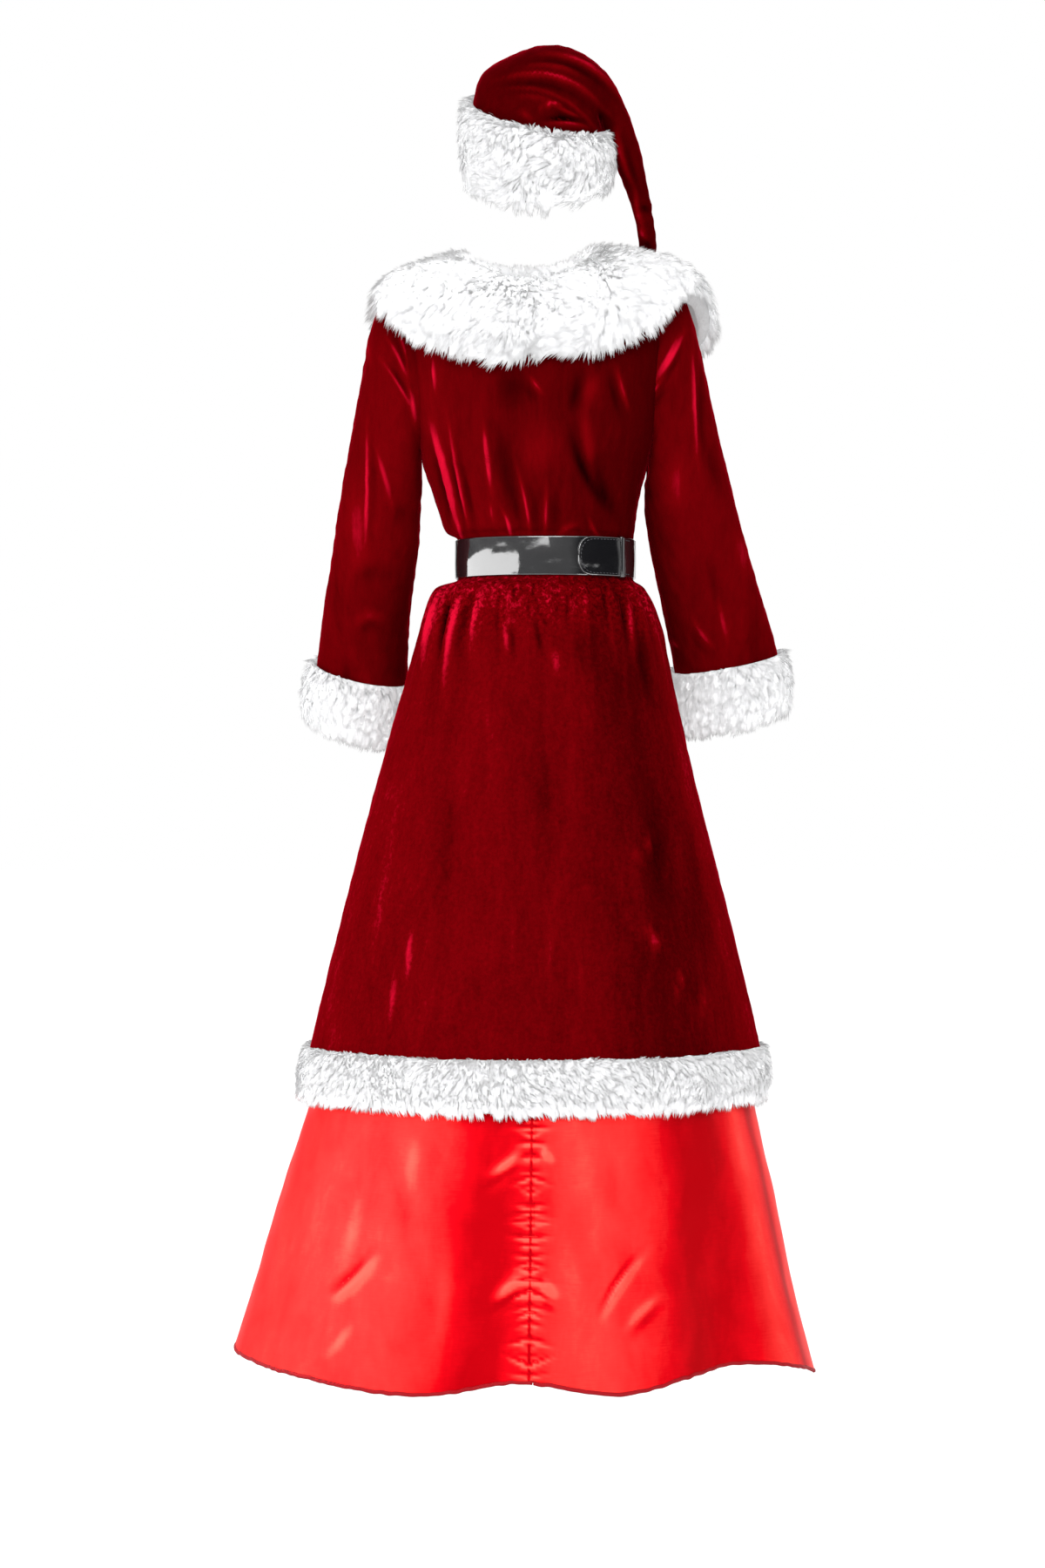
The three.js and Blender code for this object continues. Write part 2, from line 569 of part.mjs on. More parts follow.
// The hat's ball sinks a little way into the collar's pile.
function buildCollar() {
  const sleeves = [SLEEVE_LEFT, SLEEVE_RIGHT].map((rows) => sleeveCore(rows, GAP));
  const cores = [trunkCore(), ...sleeves, ballOf(BALL_RADIUS + GAP)];
  for (const [name, from] of [['collar_left', -90], ['collar_right', 90]]) {
    const angleOf = (u) => from + lerp(COLLAR_SEAM_ANGLE, 180 - COLLAR_SEAM_ANGLE, u);
    const indexOf = (u, v) => v * indexAt(YOKE, 'z', collarAt(angleOf(u)).low);
    const reachOf = (u, v) => {
      const { neck, edge } = collarAt(angleOf(u));
      return lerp(neck, edge, v) * pile(v);
    };
    const outer = (u, v) => moved(yoke, reachOf(u, v))(angleOf(u), indexOf(u, v));
    const inner = (u, v) => yoke(angleOf(u), indexOf(u, v));
    place(name, 'fur', cut(wall(outer, inner, TRUNK_COLUMNS, PILE_RINGS, false, pileSpread), ...cores));
  }
}

// ---- Belt ----
const BELT_LAP = BELT_THICKNESS + GAP;
const BELT_TURN = 360 + TONGUE_OVERLAP;

function waistPoint(degrees, push, z) {
  const point = ringPoint(TRUNK[TRUNK_END], rad(degrees), push);
  point.z = z;
  return point;
}

// One strap: from its rounded free end, once round the waist and on under that end.
function buildStrap() {
  const settled = TONGUE_OVERLAP + TONGUE_SETTLE;
  const bluntness = 0.05;
  const liftAt = (turn) => BELT_LAP * clamp((settled - turn) / TONGUE_SETTLE, 0, 1);
  const halfWidth = (u) => {
    const near = clamp(1 - u / TONGUE_ROUND, 0, 1);
    return (BELT_WIDTH / 2) * Math.sqrt(Math.max(bluntness, 1 - near * near));
  };
  const strap = (depth) => (u, v) => {
    const turn = BELT_TURN * u;
    const push = BELT_SEAT + liftAt(turn) + depth;
    return waistPoint(TONGUE_END + turn, push, BELT_MIDDLE + halfWidth(u) * (1 - 2 * v));
  };
  place('belt', 'patent', wall(strap(BELT_THICKNESS), strap(0), BELT_COLUMNS, 1, false));
}

// A narrow band that holds both layers of the strap, turned over their upper and lower edges.
function buildKeeper() {
  const channel = (grow) => {
    const face = BELT_SEAT + BELT_LAP + BELT_THICKNESS + GAP + grow;
    const back = BELT_SEAT + 2 * GAP;
    const half = BELT_WIDTH / 2 + GAP + grow;
    return [[back, half], [face, half], [face, -half], [back, -half]];
  };
  const sides = channel(0).length - 1;
  const strip = (corners) => (u, v) => {
    const [push, rise] = corners[Math.round(u * sides)];
    return waistPoint(KEEPER_ANGLE + KEEPER_TURN * (v - 0.5), push, BELT_MIDDLE + rise);
  };
  const outer = strip(channel(KEEPER_THICKNESS));
  place('belt_keeper', 'patent', wall(outer, strip(channel(0)), sides, 1, false));
}

// ---- Hat ----
function buildHat() {
  place('hat_crown', 'velvet', cut(tube(HAT, HAT_COLUMNS), ballOf(BALL_RADIUS + GAP)));
  const tailGrown = tubeSurface(HAT, GAP);
  const tailRings = HAT.length - 1 - TAIL_RING;
  const tail = plug((u, v) => tailGrown(360 * u, TAIL_RING + tailRings * v), HAT_COLUMNS, tailRings);
  place('hat_band', 'fur', cut(furTube(HAT, 0, BAND_RING, BAND_FUR, HAT_COLUMNS), tail));
  place('hat_ball', 'fur', ballOf(BALL_RADIUS));
}

buildBodice();
buildSleeves();
buildSkirt();
buildHemTrim();
buildCollar();
buildStrap();
buildKeeper();
buildHat();

export default dress;
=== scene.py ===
"""A worn christmas costume dress: crushed velvet over a satin tier, fur trim, a patent belt and its hat."""
import math
from collections import namedtuple

import bpy
import numpy as np
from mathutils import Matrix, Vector, kdtree


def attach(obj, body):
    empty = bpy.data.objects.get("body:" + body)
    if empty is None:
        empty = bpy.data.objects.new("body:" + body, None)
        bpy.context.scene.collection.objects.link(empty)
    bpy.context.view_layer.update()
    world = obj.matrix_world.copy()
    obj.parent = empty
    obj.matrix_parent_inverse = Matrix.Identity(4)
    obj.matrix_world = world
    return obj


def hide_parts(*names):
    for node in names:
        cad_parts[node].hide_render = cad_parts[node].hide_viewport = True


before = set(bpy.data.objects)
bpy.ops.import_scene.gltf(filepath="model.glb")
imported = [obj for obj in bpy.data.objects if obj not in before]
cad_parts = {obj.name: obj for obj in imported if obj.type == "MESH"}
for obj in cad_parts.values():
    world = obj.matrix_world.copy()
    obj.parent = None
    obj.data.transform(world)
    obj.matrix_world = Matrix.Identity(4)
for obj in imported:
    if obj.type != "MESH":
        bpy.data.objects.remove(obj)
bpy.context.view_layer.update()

# ---- Sizes ----
# The tables are in millimetres, as a cutter's are, and a mesh is made in metres from them.
MM = 0.001
VELVET = 2.2                  # thickness of the pile fabric
SATIN = 1.2
WAIST = -366.0                # height of the waist seam
VELVET_HEM = -1010.0
TIER_TOP = -986.0             # where the satin is sewn inside the velvet
BELT_WIDTH = 47.0
BELT_THICKNESS = 2.4
BELT_MIDDLE = WAIST + 1.0
BELT_SEAT = 2.1               # from the velvet at the waist to the inside of the belt
BELT_LAP = BELT_THICKNESS + 0.3
TONGUE_END = 109.0            # angle of the belt's rounded free end, degrees
TONGUE_OVERLAP = 46.0         # degrees of belt under that end
TONGUE_SETTLE = 14.0          # degrees in which the upper layer comes down to the velvet
KEEPER_ANGLE = 144.0
KEEPER_TURN = 4.6             # the keeper's width, degrees round the waist
CUFF_FUR = 14.0               # reach of the pile on each trim
HEM_FUR = 10.0
BAND_FUR = 17.0
EDGE_REACH = 0.25             # share of that reach at a trim's edges
HEM_FUR_TOP = -956.0
HEM_FUR_BOTTOM = -1021.0
HEM_JOIN = 79.0               # angle of the join in the hem trim
BALL_FUR = 14.0
BALL_RADIUS = 25.0
BALL_AT = (-136.0, -74.0, -14.0)
SEAM_ANGLE = 0.07             # half the gap at a lengthwise seam, degrees
DIP_POWER = 1.4               # how a ring's dip grows from its sides to its middle
FOLD_POWER = 1.3              # how a fold grows from its top to the hem
FOLD_MOST = 1.1               # share of its depth that a fold may reach under the hem
HIGHLIGHT_HEIGHT = 3.2              # height of a crease whose painted highlight is full
SHADE_DEPTH = 6.0               # depth of a hollow whose painted shade is full
GATHER_START = 14.0           # length in which a gather grows below the belt
SEAM_WIDTH = 3.5              # how far from a seam, and how deep, the seam pulls the cloth in
SEAM_DEPTH = 1.3


def rows_of(kind, rows):
    """A table of rows whose columns have names."""
    return [kind(*row) for row in rows]


# Body rings run round the wearer. z is a ring's height at its sides, x its middle and half its half
# width. back and front are its depths, and square is 2 for an oval and more where it is squarer. The
# dips say how much lower it hangs at the middle of the back and of the front.
Ring = namedtuple("Ring", "z x half back front square dip_back dip_front", defaults=(0, 0))
TRUNK = rows_of(Ring, [
    (-2, 14, 74, 56, 86, 2, 28, 60),
    (-13, 11, 98, 66, 96, 2, 31, 60),
    (-28, 7, 131, 79, 106, 2.1, 34, 60),
    (-41, 4, 151, 89, 113, 2.3, 39, 61),
    (-60, 3, 160, 97, 119, 2.4, 40, 58),
    (-100, 2, 162, 105, 125, 2.5, 28, 42),
    (-155, 1, 157, 109, 127, 2.5, 10, 14),
    (-215, 1, 147, 107, 122, 2.4),
    (-255, 3, 136, 103, 114, 2.3),
    (-292, 1, 124, 98, 105, 2.2),
    (-328, -2, 116, 93, 96, 2.1),
    (-340, -9, 107, 85, 85, 2.1),
    (WAIST, -9, 106, 84, 84, 2.1),
])
SKIRT = rows_of(Ring, [
    (WAIST, -9, 106, 84, 84, 2.1),
    (-389, -9, 107, 85, 85, 2.1),
    (-404, -2, 127, 100, 99, 2.1),
    (-441, -3, 144, 113, 110, 2.1),
    (-516, -1, 164, 133, 127, 2.05),
    (-620, 2, 190, 158, 150, 2),
    (-776, 3, 229, 194, 183, 2),
    (-955, 4, 270, 235, 219, 2),
    (VELVET_HEM, 7, 273, 241, 225, 2),
    (-1026, 8, 274, 243, 227, 2),
])
TIER = rows_of(Ring, [
    (TIER_TOP, 5, 267, 232, 216, 2),
    (VELVET_HEM, 7, 269, 236, 220, 2),
    (-1036, 8, 273, 241, 227, 2),
    (-1140, 13, 302, 256, 244, 2),
    (-1245, 18, 328, 269, 260, 2),
    (-1352, 21, 359, 281, 277, 2),
])

# The largest folds: at and width in degrees round the body, depth at the hem (out is positive),
# and the height where the fold has died away.
Fold = namedtuple("Fold", "at width depth top")
SKIRT_FOLDS = rows_of(Fold, [
    (14, 11, 7, -520), (43, 12, -8, -450), (68, 9, 6, -560), (96, 10, -6, -430), (121, 12, 7, -600),
    (149, 11, -8, -480), (171, 9, 6, -640), (204, 12, -7, -470), (236, 11, 8, -560),
    (268, 12, -7, -440), (301, 10, 8, -590), (333, 11, -6, -500),
])
TIER_FOLDS = rows_of(Fold, [
    (22, 13, -8, -1040), (58, 12, 10, -1015), (81, 9, -13, -1015), (104, 10, 10, -1015),
    (135, 12, -24, -1015), (153, 10, 10, -1030), (196, 12, -10, -1015), (226, 12, 12, -1020),
    (262, 13, -12, -1015), (297, 11, 12, -1040), (332, 12, -9, -1015),
])
HemPoint = namedtuple("HemPoint", "at z")
TIER_HEM = rows_of(HemPoint, [
    (0, -1322), (45, -1326), (72, -1334), (90, -1318), (108, -1332), (124, -1322), (142, -1315),
    (160, -1332), (180, -1352), (205, -1344), (240, -1332), (270, -1336), (315, -1328), (360, -1322),
])

# Tube rings stand across a limb or the hat: the ring's two ends seen from behind, its middle y,
# half its depth, and how much lower its rear edge hangs.
Tube = namedtuple("Tube", "in_x in_z out_x out_z y deep sag")
SLEEVE_LEFT = rows_of(Tube, [
    (132, -226, 132, -46, 0, 58, 0),
    (138, -234, 167, -41, 0, 60, 0),
    (141, -241, 190, -52, 0, 61, 0),
    (141.5, -248, 204, -84, -1, 61, 0),
    (142, -259, 216, -145, -5, 59, 1),
    (142, -276, 231, -225, -13, 56, 4),
    (144, -303, 243, -290, -22, 55, 6),
    (147, -350, 253, -352, -36, 55, 8),
    (158, -428, 265, -420, -58, 55, 11),
    (163, -512, 275, -488, -84, 53, 13),
    (168, -580, 283, -548, -102, 53, 14),
])
SLEEVE_RIGHT = rows_of(Tube, [
    (-130, -228, -130, -46, 0, 58, 0),
    (-133, -240, -160, -40, 0, 60, 0),
    (-133, -252, -180, -51, 0, 61, 0),
    (-132, -263, -192, -84, -1, 61, 0),
    (-130, -277, -206, -145, -5, 59, 1),
    (-130, -292, -224, -225, -11, 57, 2),
    (-132, -315, -241, -290, -19, 57, 3),
    (-138, -352, -257, -350, -30, 58, 4),
    (-155, -428, -280, -420, -49, 58, 6),
    (-170, -500, -297, -476, -68, 57, 8),
    (-180, -564, -303, -540, -84, 57, 9),
])
HAT = rows_of(Tube, [
    (-80, 98, 78, 100, 0, 96, 45),
    (-80, 140, 79, 150, 0, 96, 42),
    (-80, 160, 79, 194, 0, 94, 38),
    (-79, 165, 68, 228, -1, 90, 30),
    (-78, 167, 38, 249, -2, 86, 22),
    (-77, 168, 0, 263, -3, 79, 14),
    (-76, 168.5, -33, 262, -4, 71, 8),
    (-75.5, 168, -62, 248, -3, 61, 4),
    (-75.5, 166, -88, 223, 0, 50, 2),
    (-77, 161, -104, 191, 6, 40, 0),
    (-83, 148, -115, 163, 12, 32, 0),
    (-90, 120, -125, 130, 14, 25, 0),
    (-105, 88, -133, 92, 6, 19, 0),
    (-119, 52, -141, 54, -10, 14, 0),
    (-124, 22, -146, 24, -30, 11, 0),
    (-126, -8, -144, -2, -54, 9, 0),
])
BAND_RING = 2                 # the crown's ring at the upper edge of its band

# The yoke is the trunk with the sleeve heads on it, which the collar lies on. COLLAR has, round the
# body, the height where the collar's lower edge lies and the reach of its pile by the neck and there.
YOKE = rows_of(Ring, [
    (-2, 14, 74, 56, 86, 2, 28, 60),
    (-13, 11, 98, 66, 96, 2, 31, 60),
    (-28, 7, 132, 79, 106, 2.1, 34, 60),
    (-40, 4, 160, 89, 113, 2.25, 39, 61),
    (-54, 4, 185, 97, 119, 2.35, 42, 60),
    (-80, 3, 202, 104, 124, 2.4, 34, 50),
    (-125, 3, 208, 108, 126, 2.4, 20, 28),
])
CollarRow = namedtuple("CollarRow", "at low neck edge")
COLLAR = rows_of(CollarRow, [
    (0, -51, 18, 37), (22, -57, 17, 32), (45, -74, 17, 22), (65, -98, 18, 20), (80, -119, 18, 20),
    (90, -108, 18, 19), (102, -104, 19, 21), (122, -73, 21, 25), (140, -56, 24, 33), (160, -51, 28, 45),
    (180, -64, 30, 50), (198, -94, 27, 36), (225, -98, 20, 22), (250, -106, 18, 20), (270, -98, 17, 18),
    (290, -106, 17, 20), (315, -88, 16, 22), (338, -64, 15, 28), (360, -51, 18, 37),
])

# Creases are seen from behind (or from the front, on a front panel): from (x, z) to (to_x, to_z),
# bowed aside by bow, this wide and high (sunk if negative), and fullest at peak, a share of the way.
Crease = namedtuple("Crease", "x z to_x to_z bow width depth peak", defaults=(0.5,))
BODICE_BACK_CREASES = rows_of(Crease, [
    (94, -347, 137, -184, -4, 4.2, 5.4, 0.45),
    (80, -347, 114, -168, 1, 2.5, 3.4, 0.35),
    (88, -349, 99, -310, 1, 2.2, 2.4, 0.4),
    (122, -182, 127, -116, 0, 2.3, 2.4),
    (104, -346, 143, -196, -4, 5, -3.6, 0.4),
    (87, -340, 119, -210, -3, 2.6, -2.2, 0.4),
    (73, -346, 99, -220, 1, 4, -2.6, 0.35),
    (54, -307, 66, -202, 0, 3, 4.2, 0.6),
    (52, -330, 56, -296, 2, 2.2, 1.8),
    (22, -338, 50, -196, 2, 9, -3.0),
    (32, -349, 49, -302, -4, 2.6, 3.2, 0.35),
    (9, -349, 31, -246, -3.5, 2.4, 3.2, 0.35),
    (-8, -349, -10, -262, 0, 2.6, 2.8, 0.35),
    (1, -346, 12, -270, -2, 3.4, -1.8, 0.4),
    (20, -346, 42, -262, -3, 3.6, -1.6, 0.4),
    (-20, -346, -22, -280, 0, 6, -1.6, 0.4),
    (-92, -320, -36, -193, 12, 6, -4.6),
    (-37, -205, -53, -136, 0, 6, -3.6, 0.4),
    (-106, -336, -66, -230, 8, 8, -3.2),
    (-78, -300, -54, -170, 6, 7, 1.8, 0.6),
    (-58, -200, -68, -138, 0, 9, 2.0),
    (-75, -346, -58, -310, 3, 2.6, 2.2, 0.3),
    (-52, -326, -18, -345, -3, 4, 1.8),
    (-113, -202, -92, -132, 3, 3.2, 2.8),
    (-104, -212, -84, -138, 3, 4, -2.4),
    (-8, -178, 12, -149, 1.5, 2.8, 2.6),
    (-2, -188, 20, -158, 1.5, 5, -1.8),
    (34, -140, 40, -200, 4, 16, -2.6, 0.4),
    (2, -190, -4, -290, 0, 20, 1.2),
])
BODICE_FRONT_CREASES = rows_of(Crease, [
    (-86, -344, -128, -190, -7, 7, 4.6, 0.35),
    (-74, -344, -108, -215, -6, 5, -3.0, 0.35),
    (-60, -344, -86, -210, -5, 5, 3.4, 0.3),
    (-44, -344, -64, -235, -4, 5, -2.8, 0.3),
    (-30, -344, -44, -200, -4, 6, 3.0, 0.35),
    (-14, -344, -20, -250, -2, 4, -2.4, 0.3),
    (2, -344, 4, -240, 2, 5, 3.2, 0.3),
    (16, -344, 24, -260, 3, 4, -2.2, 0.3),
    (30, -344, 46, -215, 5, 6, 3.2, 0.35),
    (46, -344, 64, -240, 4, 5, -2.6, 0.3),
    (62, -344, 92, -205, 6, 6, 3.6, 0.35),
    (80, -344, 112, -220, 6, 5, -3.0, 0.3),
    (96, -342, 132, -200, 7, 7, 4.2, 0.35),
    (-126, -150, -84, -190, -5, 7, 2.6, 0.3),
    (128, -150, 88, -195, 5, 7, 2.8, 0.3),
    (60, -170, 20, -215, 6, 12, -2.0),
    (-52, -165, -16, -220, -6, 12, -2.0),
])
SLEEVE_LEFT_CREASES = rows_of(Crease, [
    (211, -372, 208, -172, -3, 2.4, 3.0),
    (204, -360, 201, -190, -3, 5, -1.8),
    (172, -326, 206, -206, -3, 3.6, 1.8),
    (150, -192, 202, -112, -4, 2.4, 3.0, 0.35),
    (153, -181, 190, -122, -3, 3.4, -2.4, 0.4),
    (155, -160, 191, -88, -4, 2.6, 2.6, 0.4),
    (154, -150, 178, -90, -3, 3.2, -2.4, 0.4),
    (154, -160, 175, -72, -3, 2.6, 2.6, 0.4),
    (148, -215, 160, -148, -3, 3.0, 2.2),
    (200, -140, 207, -78, 2, 3, 1.4),
    (150, -300, 180, -330, -5, 9, -1.4, 0.4),
    (226, -240, 220, -420, 4, 12, 1.2),
    (170, -380, 232, -400, -8, 10, -1.2),
    (176, -440, 232, -452, -14, 7, 1.6),
    (182, -452, 222, -462, -12, 6, -1.4),
    (252, -330, 246, -500, 3, 8, -1.2),
    (214, -480, 210, -545, 1, 7, 1.2, 0.6),
    (236, -470, 240, -540, 1, 7, -1.2, 0.6),
])
SLEEVE_RIGHT_CREASES = rows_of(Crease, [
    (-196, -285, -186, -80, 3, 2.4, 3.0, 0.55),
    (-203, -270, -198, -120, 2, 5, -2.6),
    (-130, -168, -181, -78, -5, 3.4, 3.4),
    (-133, -176, -178, -100, -5, 3.2, -2.4, 0.45),
    (-132, -160, -173, -86, -3, 2.4, 2.4),
    (-128, -150, -142, -92, 1, 2.6, 2.2),
    (-132, -142, -150, -96, 1, 3, -2.0),
    (-121, -196, -173, -132, 5, 2.4, 2.8, 0.35),
    (-122, -208, -170, -150, 5, 4, -2.0, 0.35),
    (-130, -284, -122, -252, -1, 2.6, 2.2),
    (-138, -300, -126, -268, -2, 3, -1.6),
    (-225, -300, -205, -205, 2, 8, -2.0),
    (-168, -320, -166, -230, 2, 12, 1.2),
    (-236, -478, -217, -378, 4, 3.4, 1.8, 0.4),
    (-228, -440, -208, -352, 3, 7, -2.0),
    (-222, -478, -182, -420, 5, 3, 1.8, 0.4),
    (-214, -486, -176, -436, 5, 3.4, -1.4, 0.4),
    (-176, -474, -164, -456, 1, 2, 2.0),
    (-262, -400, -246, -310, 3, 10, 1.4),
    (-276, -520, -264, -430, 3, 9, -1.4),
])
SKIRT_FRONT_CREASES = rows_of(Crease, [
    (-118, -560, -92, -398, -8, 5, 3.0, 0.7),
    (-70, -520, -58, -400, -5, 5, -2.6, 0.6),
    (-24, -600, -16, -404, -4, 7, 2.4, 0.6),
    (30, -500, 22, -400, 3, 5, -2.6, 0.6),
    (84, -640, 66, -404, 6, 7, 2.8, 0.7),
    (128, -540, 104, -400, 6, 5, -2.8, 0.6),
    (-190, -900, -158, -620, -8, 13, 1.8),
    (-60, -880, -48, -600, -4, 13, -1.8),
    (52, -860, 44, -580, 4, 12, 1.8),
    (170, -920, 136, -640, 8, 13, -1.8),
])
SKIRT_BACK_CREASES = rows_of(Crease, [
    (112, -560, 86, -396, 9, 4.0, 3.4, 0.7),
    (140, -510, 116, -400, 6, 4.0, 2.8, 0.6),
    (119, -500, 97, -398, 7, 3.6, -4.0, 0.6),
    (97, -510, 73, -398, 7, 4.4, -3.4, 0.6),
    (82, -500, 68, -400, 3, 3.4, 2.6, 0.6),
    (28, -430, 31, -393, 0, 2.2, -3.4, 0.6),
    (36, -490, 41, -440, 0, 3.4, 1.8),
    (28, -494, 34, -442, 0, 3, -3.0),
    (-5, -494, 5, -434, 0, 2.8, -3.4),
    (-15, -456, -3, -436, 1, 2.6, -2.2),
    (7, -424, 6, -392, 0, 2.2, -2.6, 0.6),
    (-22, -520, -20, -470, 0, 5, 1.6),
    (-62, -520, -50, -440, 4, 14, -1.6),
    (-124, -520, -108, -400, 6, 4, 2.6, 0.7),
    (-146, -560, -122, -440, 6, 8, -3.8, 0.6),
    (-74, -545, -62, -404, 3, 4, -1.6, 0.6),
    (-100, -520, -82, -400, 4, 4, 1.8, 0.6),
    (54, -640, 58, -500, 2, 5, 0.5),
    (-6, -800, -8, -520, -3, 14, -1.2),
    (-40, -700, -34, -500, -3, 6, 0.5),
    (-130, -860, -108, -560, 6, 8, 0.7),
    (-158, -820, -132, -600, 5, 12, -2.2),
    (196, -900, 160, -640, 8, 8, 0.7),
    (116, -880, 100, -600, 4, 14, -1.4),
    (-206, -900, -180, -640, 6, 12, -2.0),
    (-118, -722, -146, -690, 2, 3.2, 2.3),
    (-132, -738, -126, -676, -2, 3.0, 2.1),
    (-92, -734, -128, -718, 2, 3.0, 1.8),
    (-120, -834, -152, -806, -3, 3.2, 2.5),
    (-138, -850, -130, -790, 2, 3.0, 2.2),
    (-112, -808, -148, -822, 2, 3.0, 2.0),
    (-156, -900, -178, -846, 3, 3.4, 2.4),
    (-186, -930, -196, -862, -3, 3.4, 2.0),
    (-150, -760, -158, -716, 2, 3.0, 1.8),
    (154, -880, 146, -796, 2, 3.2, 2.2),
    (176, -930, 170, -850, -2, 3.2, 2.0),
    (-12, -890, -16, -790, 2, 3.0, 0.9),
    (34, -870, 30, -760, -2, 3.0, 0.8),
    (-52, -900, -50, -820, 2, 3.0, 0.9),
    (120, -520, 104, -404, 5, 2.6, -3.4, 0.7),
    (48, -470, 46, -398, 2, 2.4, -3.2, 0.6),
    (12, -452, 12, -396, 0, 2.4, -3.0, 0.6),
    (-36, -474, -33, -396, 0, 2.6, -3.0, 0.6),
    (-88, -470, -76, -398, 2, 2.6, -2.8, 0.6),
    (-112, -480, -98, -402, 3, 2.6, -2.8, 0.6),
])
SATIN_BACK_CREASES = rows_of(Crease, [
    (253, -1236, 184, -1164, -4, 4, -2.8, 0.4),
    (246, -1245, 176, -1170, -4, 6, 3.2, 0.4),
    (254, -1310, 210, -1250, -3, 5, 1.2),
    (170, -1060, 150, -1210, 4, 9, -0.9),
    (136, -1030, 150, -1130, -3, 8, 0.9, 0.4),
    (-60, -1253, -124, -1162, 4, 3.5, -2.8, 0.45),
    (-67, -1257, -132, -1168, 4, 5, 3.2, 0.45),
    (-72, -1233, -118, -1183, 2, 3, 1.8),
    (-92, -1268, -146, -1220, 3, 5, 2.2),
    (-100, -1276, -152, -1232, 3, 5, -1.8),
    (66, -1092, 16, -1052, -4, 6, 3.4),
    (70, -1106, 20, -1070, -4, 6, -2.4),
    (60, -1232, 14, -1188, -4, 7, 3.4),
    (64, -1248, 20, -1210, -4, 6, -2.6),
    (-2, -1052, -22, -1074, -3, 5, 2.8, 0.4),
    (-2, -1200, -26, -1226, -4, 6, 3.2, 0.4),
    (-2, -1218, -22, -1242, -3, 5, -2.0, 0.4),
    (-78, -1050, -90, -1150, -2, 9, -0.9),
    (206, -1090, 238, -1230, 5, 8, 0.9),
    (104, -1150, 122, -1310, 3, 9, 0.8),
])
SATIN_FRONT_CREASES = rows_of(Crease, [
    (-190, -1220, -120, -1150, 5, 5, 2.8, 0.4),
    (-200, -1236, -126, -1162, 5, 4, -2.4, 0.4),
    (180, -1190, 110, -1120, -5, 5, 2.8, 0.4),
    (186, -1204, 118, -1136, -5, 4, -2.4, 0.4),
    (40, -1260, -20, -1180, 4, 6, 2.6),
    (48, -1272, -10, -1196, 4, 5, -2.2),
    (-60, -1060, -70, -1160, -3, 12, 2.4),
    (80, -1040, 94, -1150, 3, 12, -2.4),
    (250, -1280, 214, -1210, -4, 7, 2.4),
    (-260, -1290, -226, -1220, 4, 7, 2.4),
])
HAT_CREASES = rows_of(Crease, [
    (66, 206, -104, 150, 30, 3.6, 3.6, 0.4),
    (64, 197, -90, 150, 24, 4.0, -2.6, 0.4),
    (68, 196, -96, 120, 26, 3.2, 2.8),
    (60, 188, -78, 140, 20, 4.5, -2.0),
    (40, 186, -40, 172, 4, 4, 1.8),
    (20, 244, -112, 176, 20, 4.5, 3.8),
    (30, 232, -104, 176, 22, 5, -2.8),
    (34, 222, -70, 200, 12, 4, 2.0),
    (0, 153, -62, 156, 3, 2.6, -6.0),
    (0, 147, -70, 150, 3, 3.4, 3.2),
    (2, 158, -34, 172, 9, 2.8, 4.0, 0.6),
    (-18, 172, -56, 160, -2, 3.0, 3.6, 0.4),
    (-14, 164, -44, 160, 1, 4.5, -2.6),
    (22, 172, 4, 152, -3, 4, 1.8),
    (58, 168, 22, 140, -5, 12, -1.4),
    (-72, 152, -108, 60, -6, 3.6, 3.2, 0.4),
    (-82, 158, -120, 60, -8, 4, -2.8, 0.4),
    (-92, 168, -132, 66, -9, 4, 2.4, 0.4),
    (-104, 158, -138, 60, -8, 4, -2.6),
    (-118, 92, -134, 30, -4, 3.2, 2.8),
    (-118, 62, -142, 58, 2, 4, -3.4),
    (-124, 46, -136, 26, -2, 3.0, 3.0),
    (-126, 26, -140, 14, 2, 3.5, -2.6),
])

# Gathers hang from the belt: at and width in degrees, out by height at the belt, this long.
Gather = namedtuple("Gather", "at width height length")
SKIRT_GATHERS = rows_of(Gather, [
    (32, 2.6, 4.0, 90), (41, 2.2, 3.2, 60), (50, 2.4, 4.2, 110), (61, 2.6, 3.6, 80), (69, 1.8, 3.0, 70),
    (76, 2.2, 4.0, 130), (85, 2.4, 3.4, 70), (94, 2.0, 4.2, 95), (103, 2.4, 3.2, 70),
    (112, 2.6, 4.0, 110), (121, 1.8, 3.0, 60), (129, 2.4, 3.8, 90), (138, 2.0, 3.2, 70),
    (148, 2.8, 4.2, 110), (160, 2.4, 3.4, 70), (171, 2.6, 3.8, 90), (10, 2.8, 3.6, 80),
    (21, 2.2, 3.0, 60), (190, 2.6, 3.6, 80), (201, 2.2, 3.0, 60), (212, 2.4, 4.0, 100),
    (224, 2.6, 3.4, 80), (236, 2.0, 3.8, 90), (247, 2.4, 3.2, 60), (259, 2.2, 4.0, 110),
    (271, 2.6, 3.4, 70), (283, 2.0, 3.8, 90), (294, 2.4, 3.2, 70), (306, 2.4, 4.0, 110),
    (318, 2.0, 3.2, 60), (330, 2.6, 3.8, 90), (342, 2.2, 3.2, 70), (352, 2.6, 3.6, 80),
])


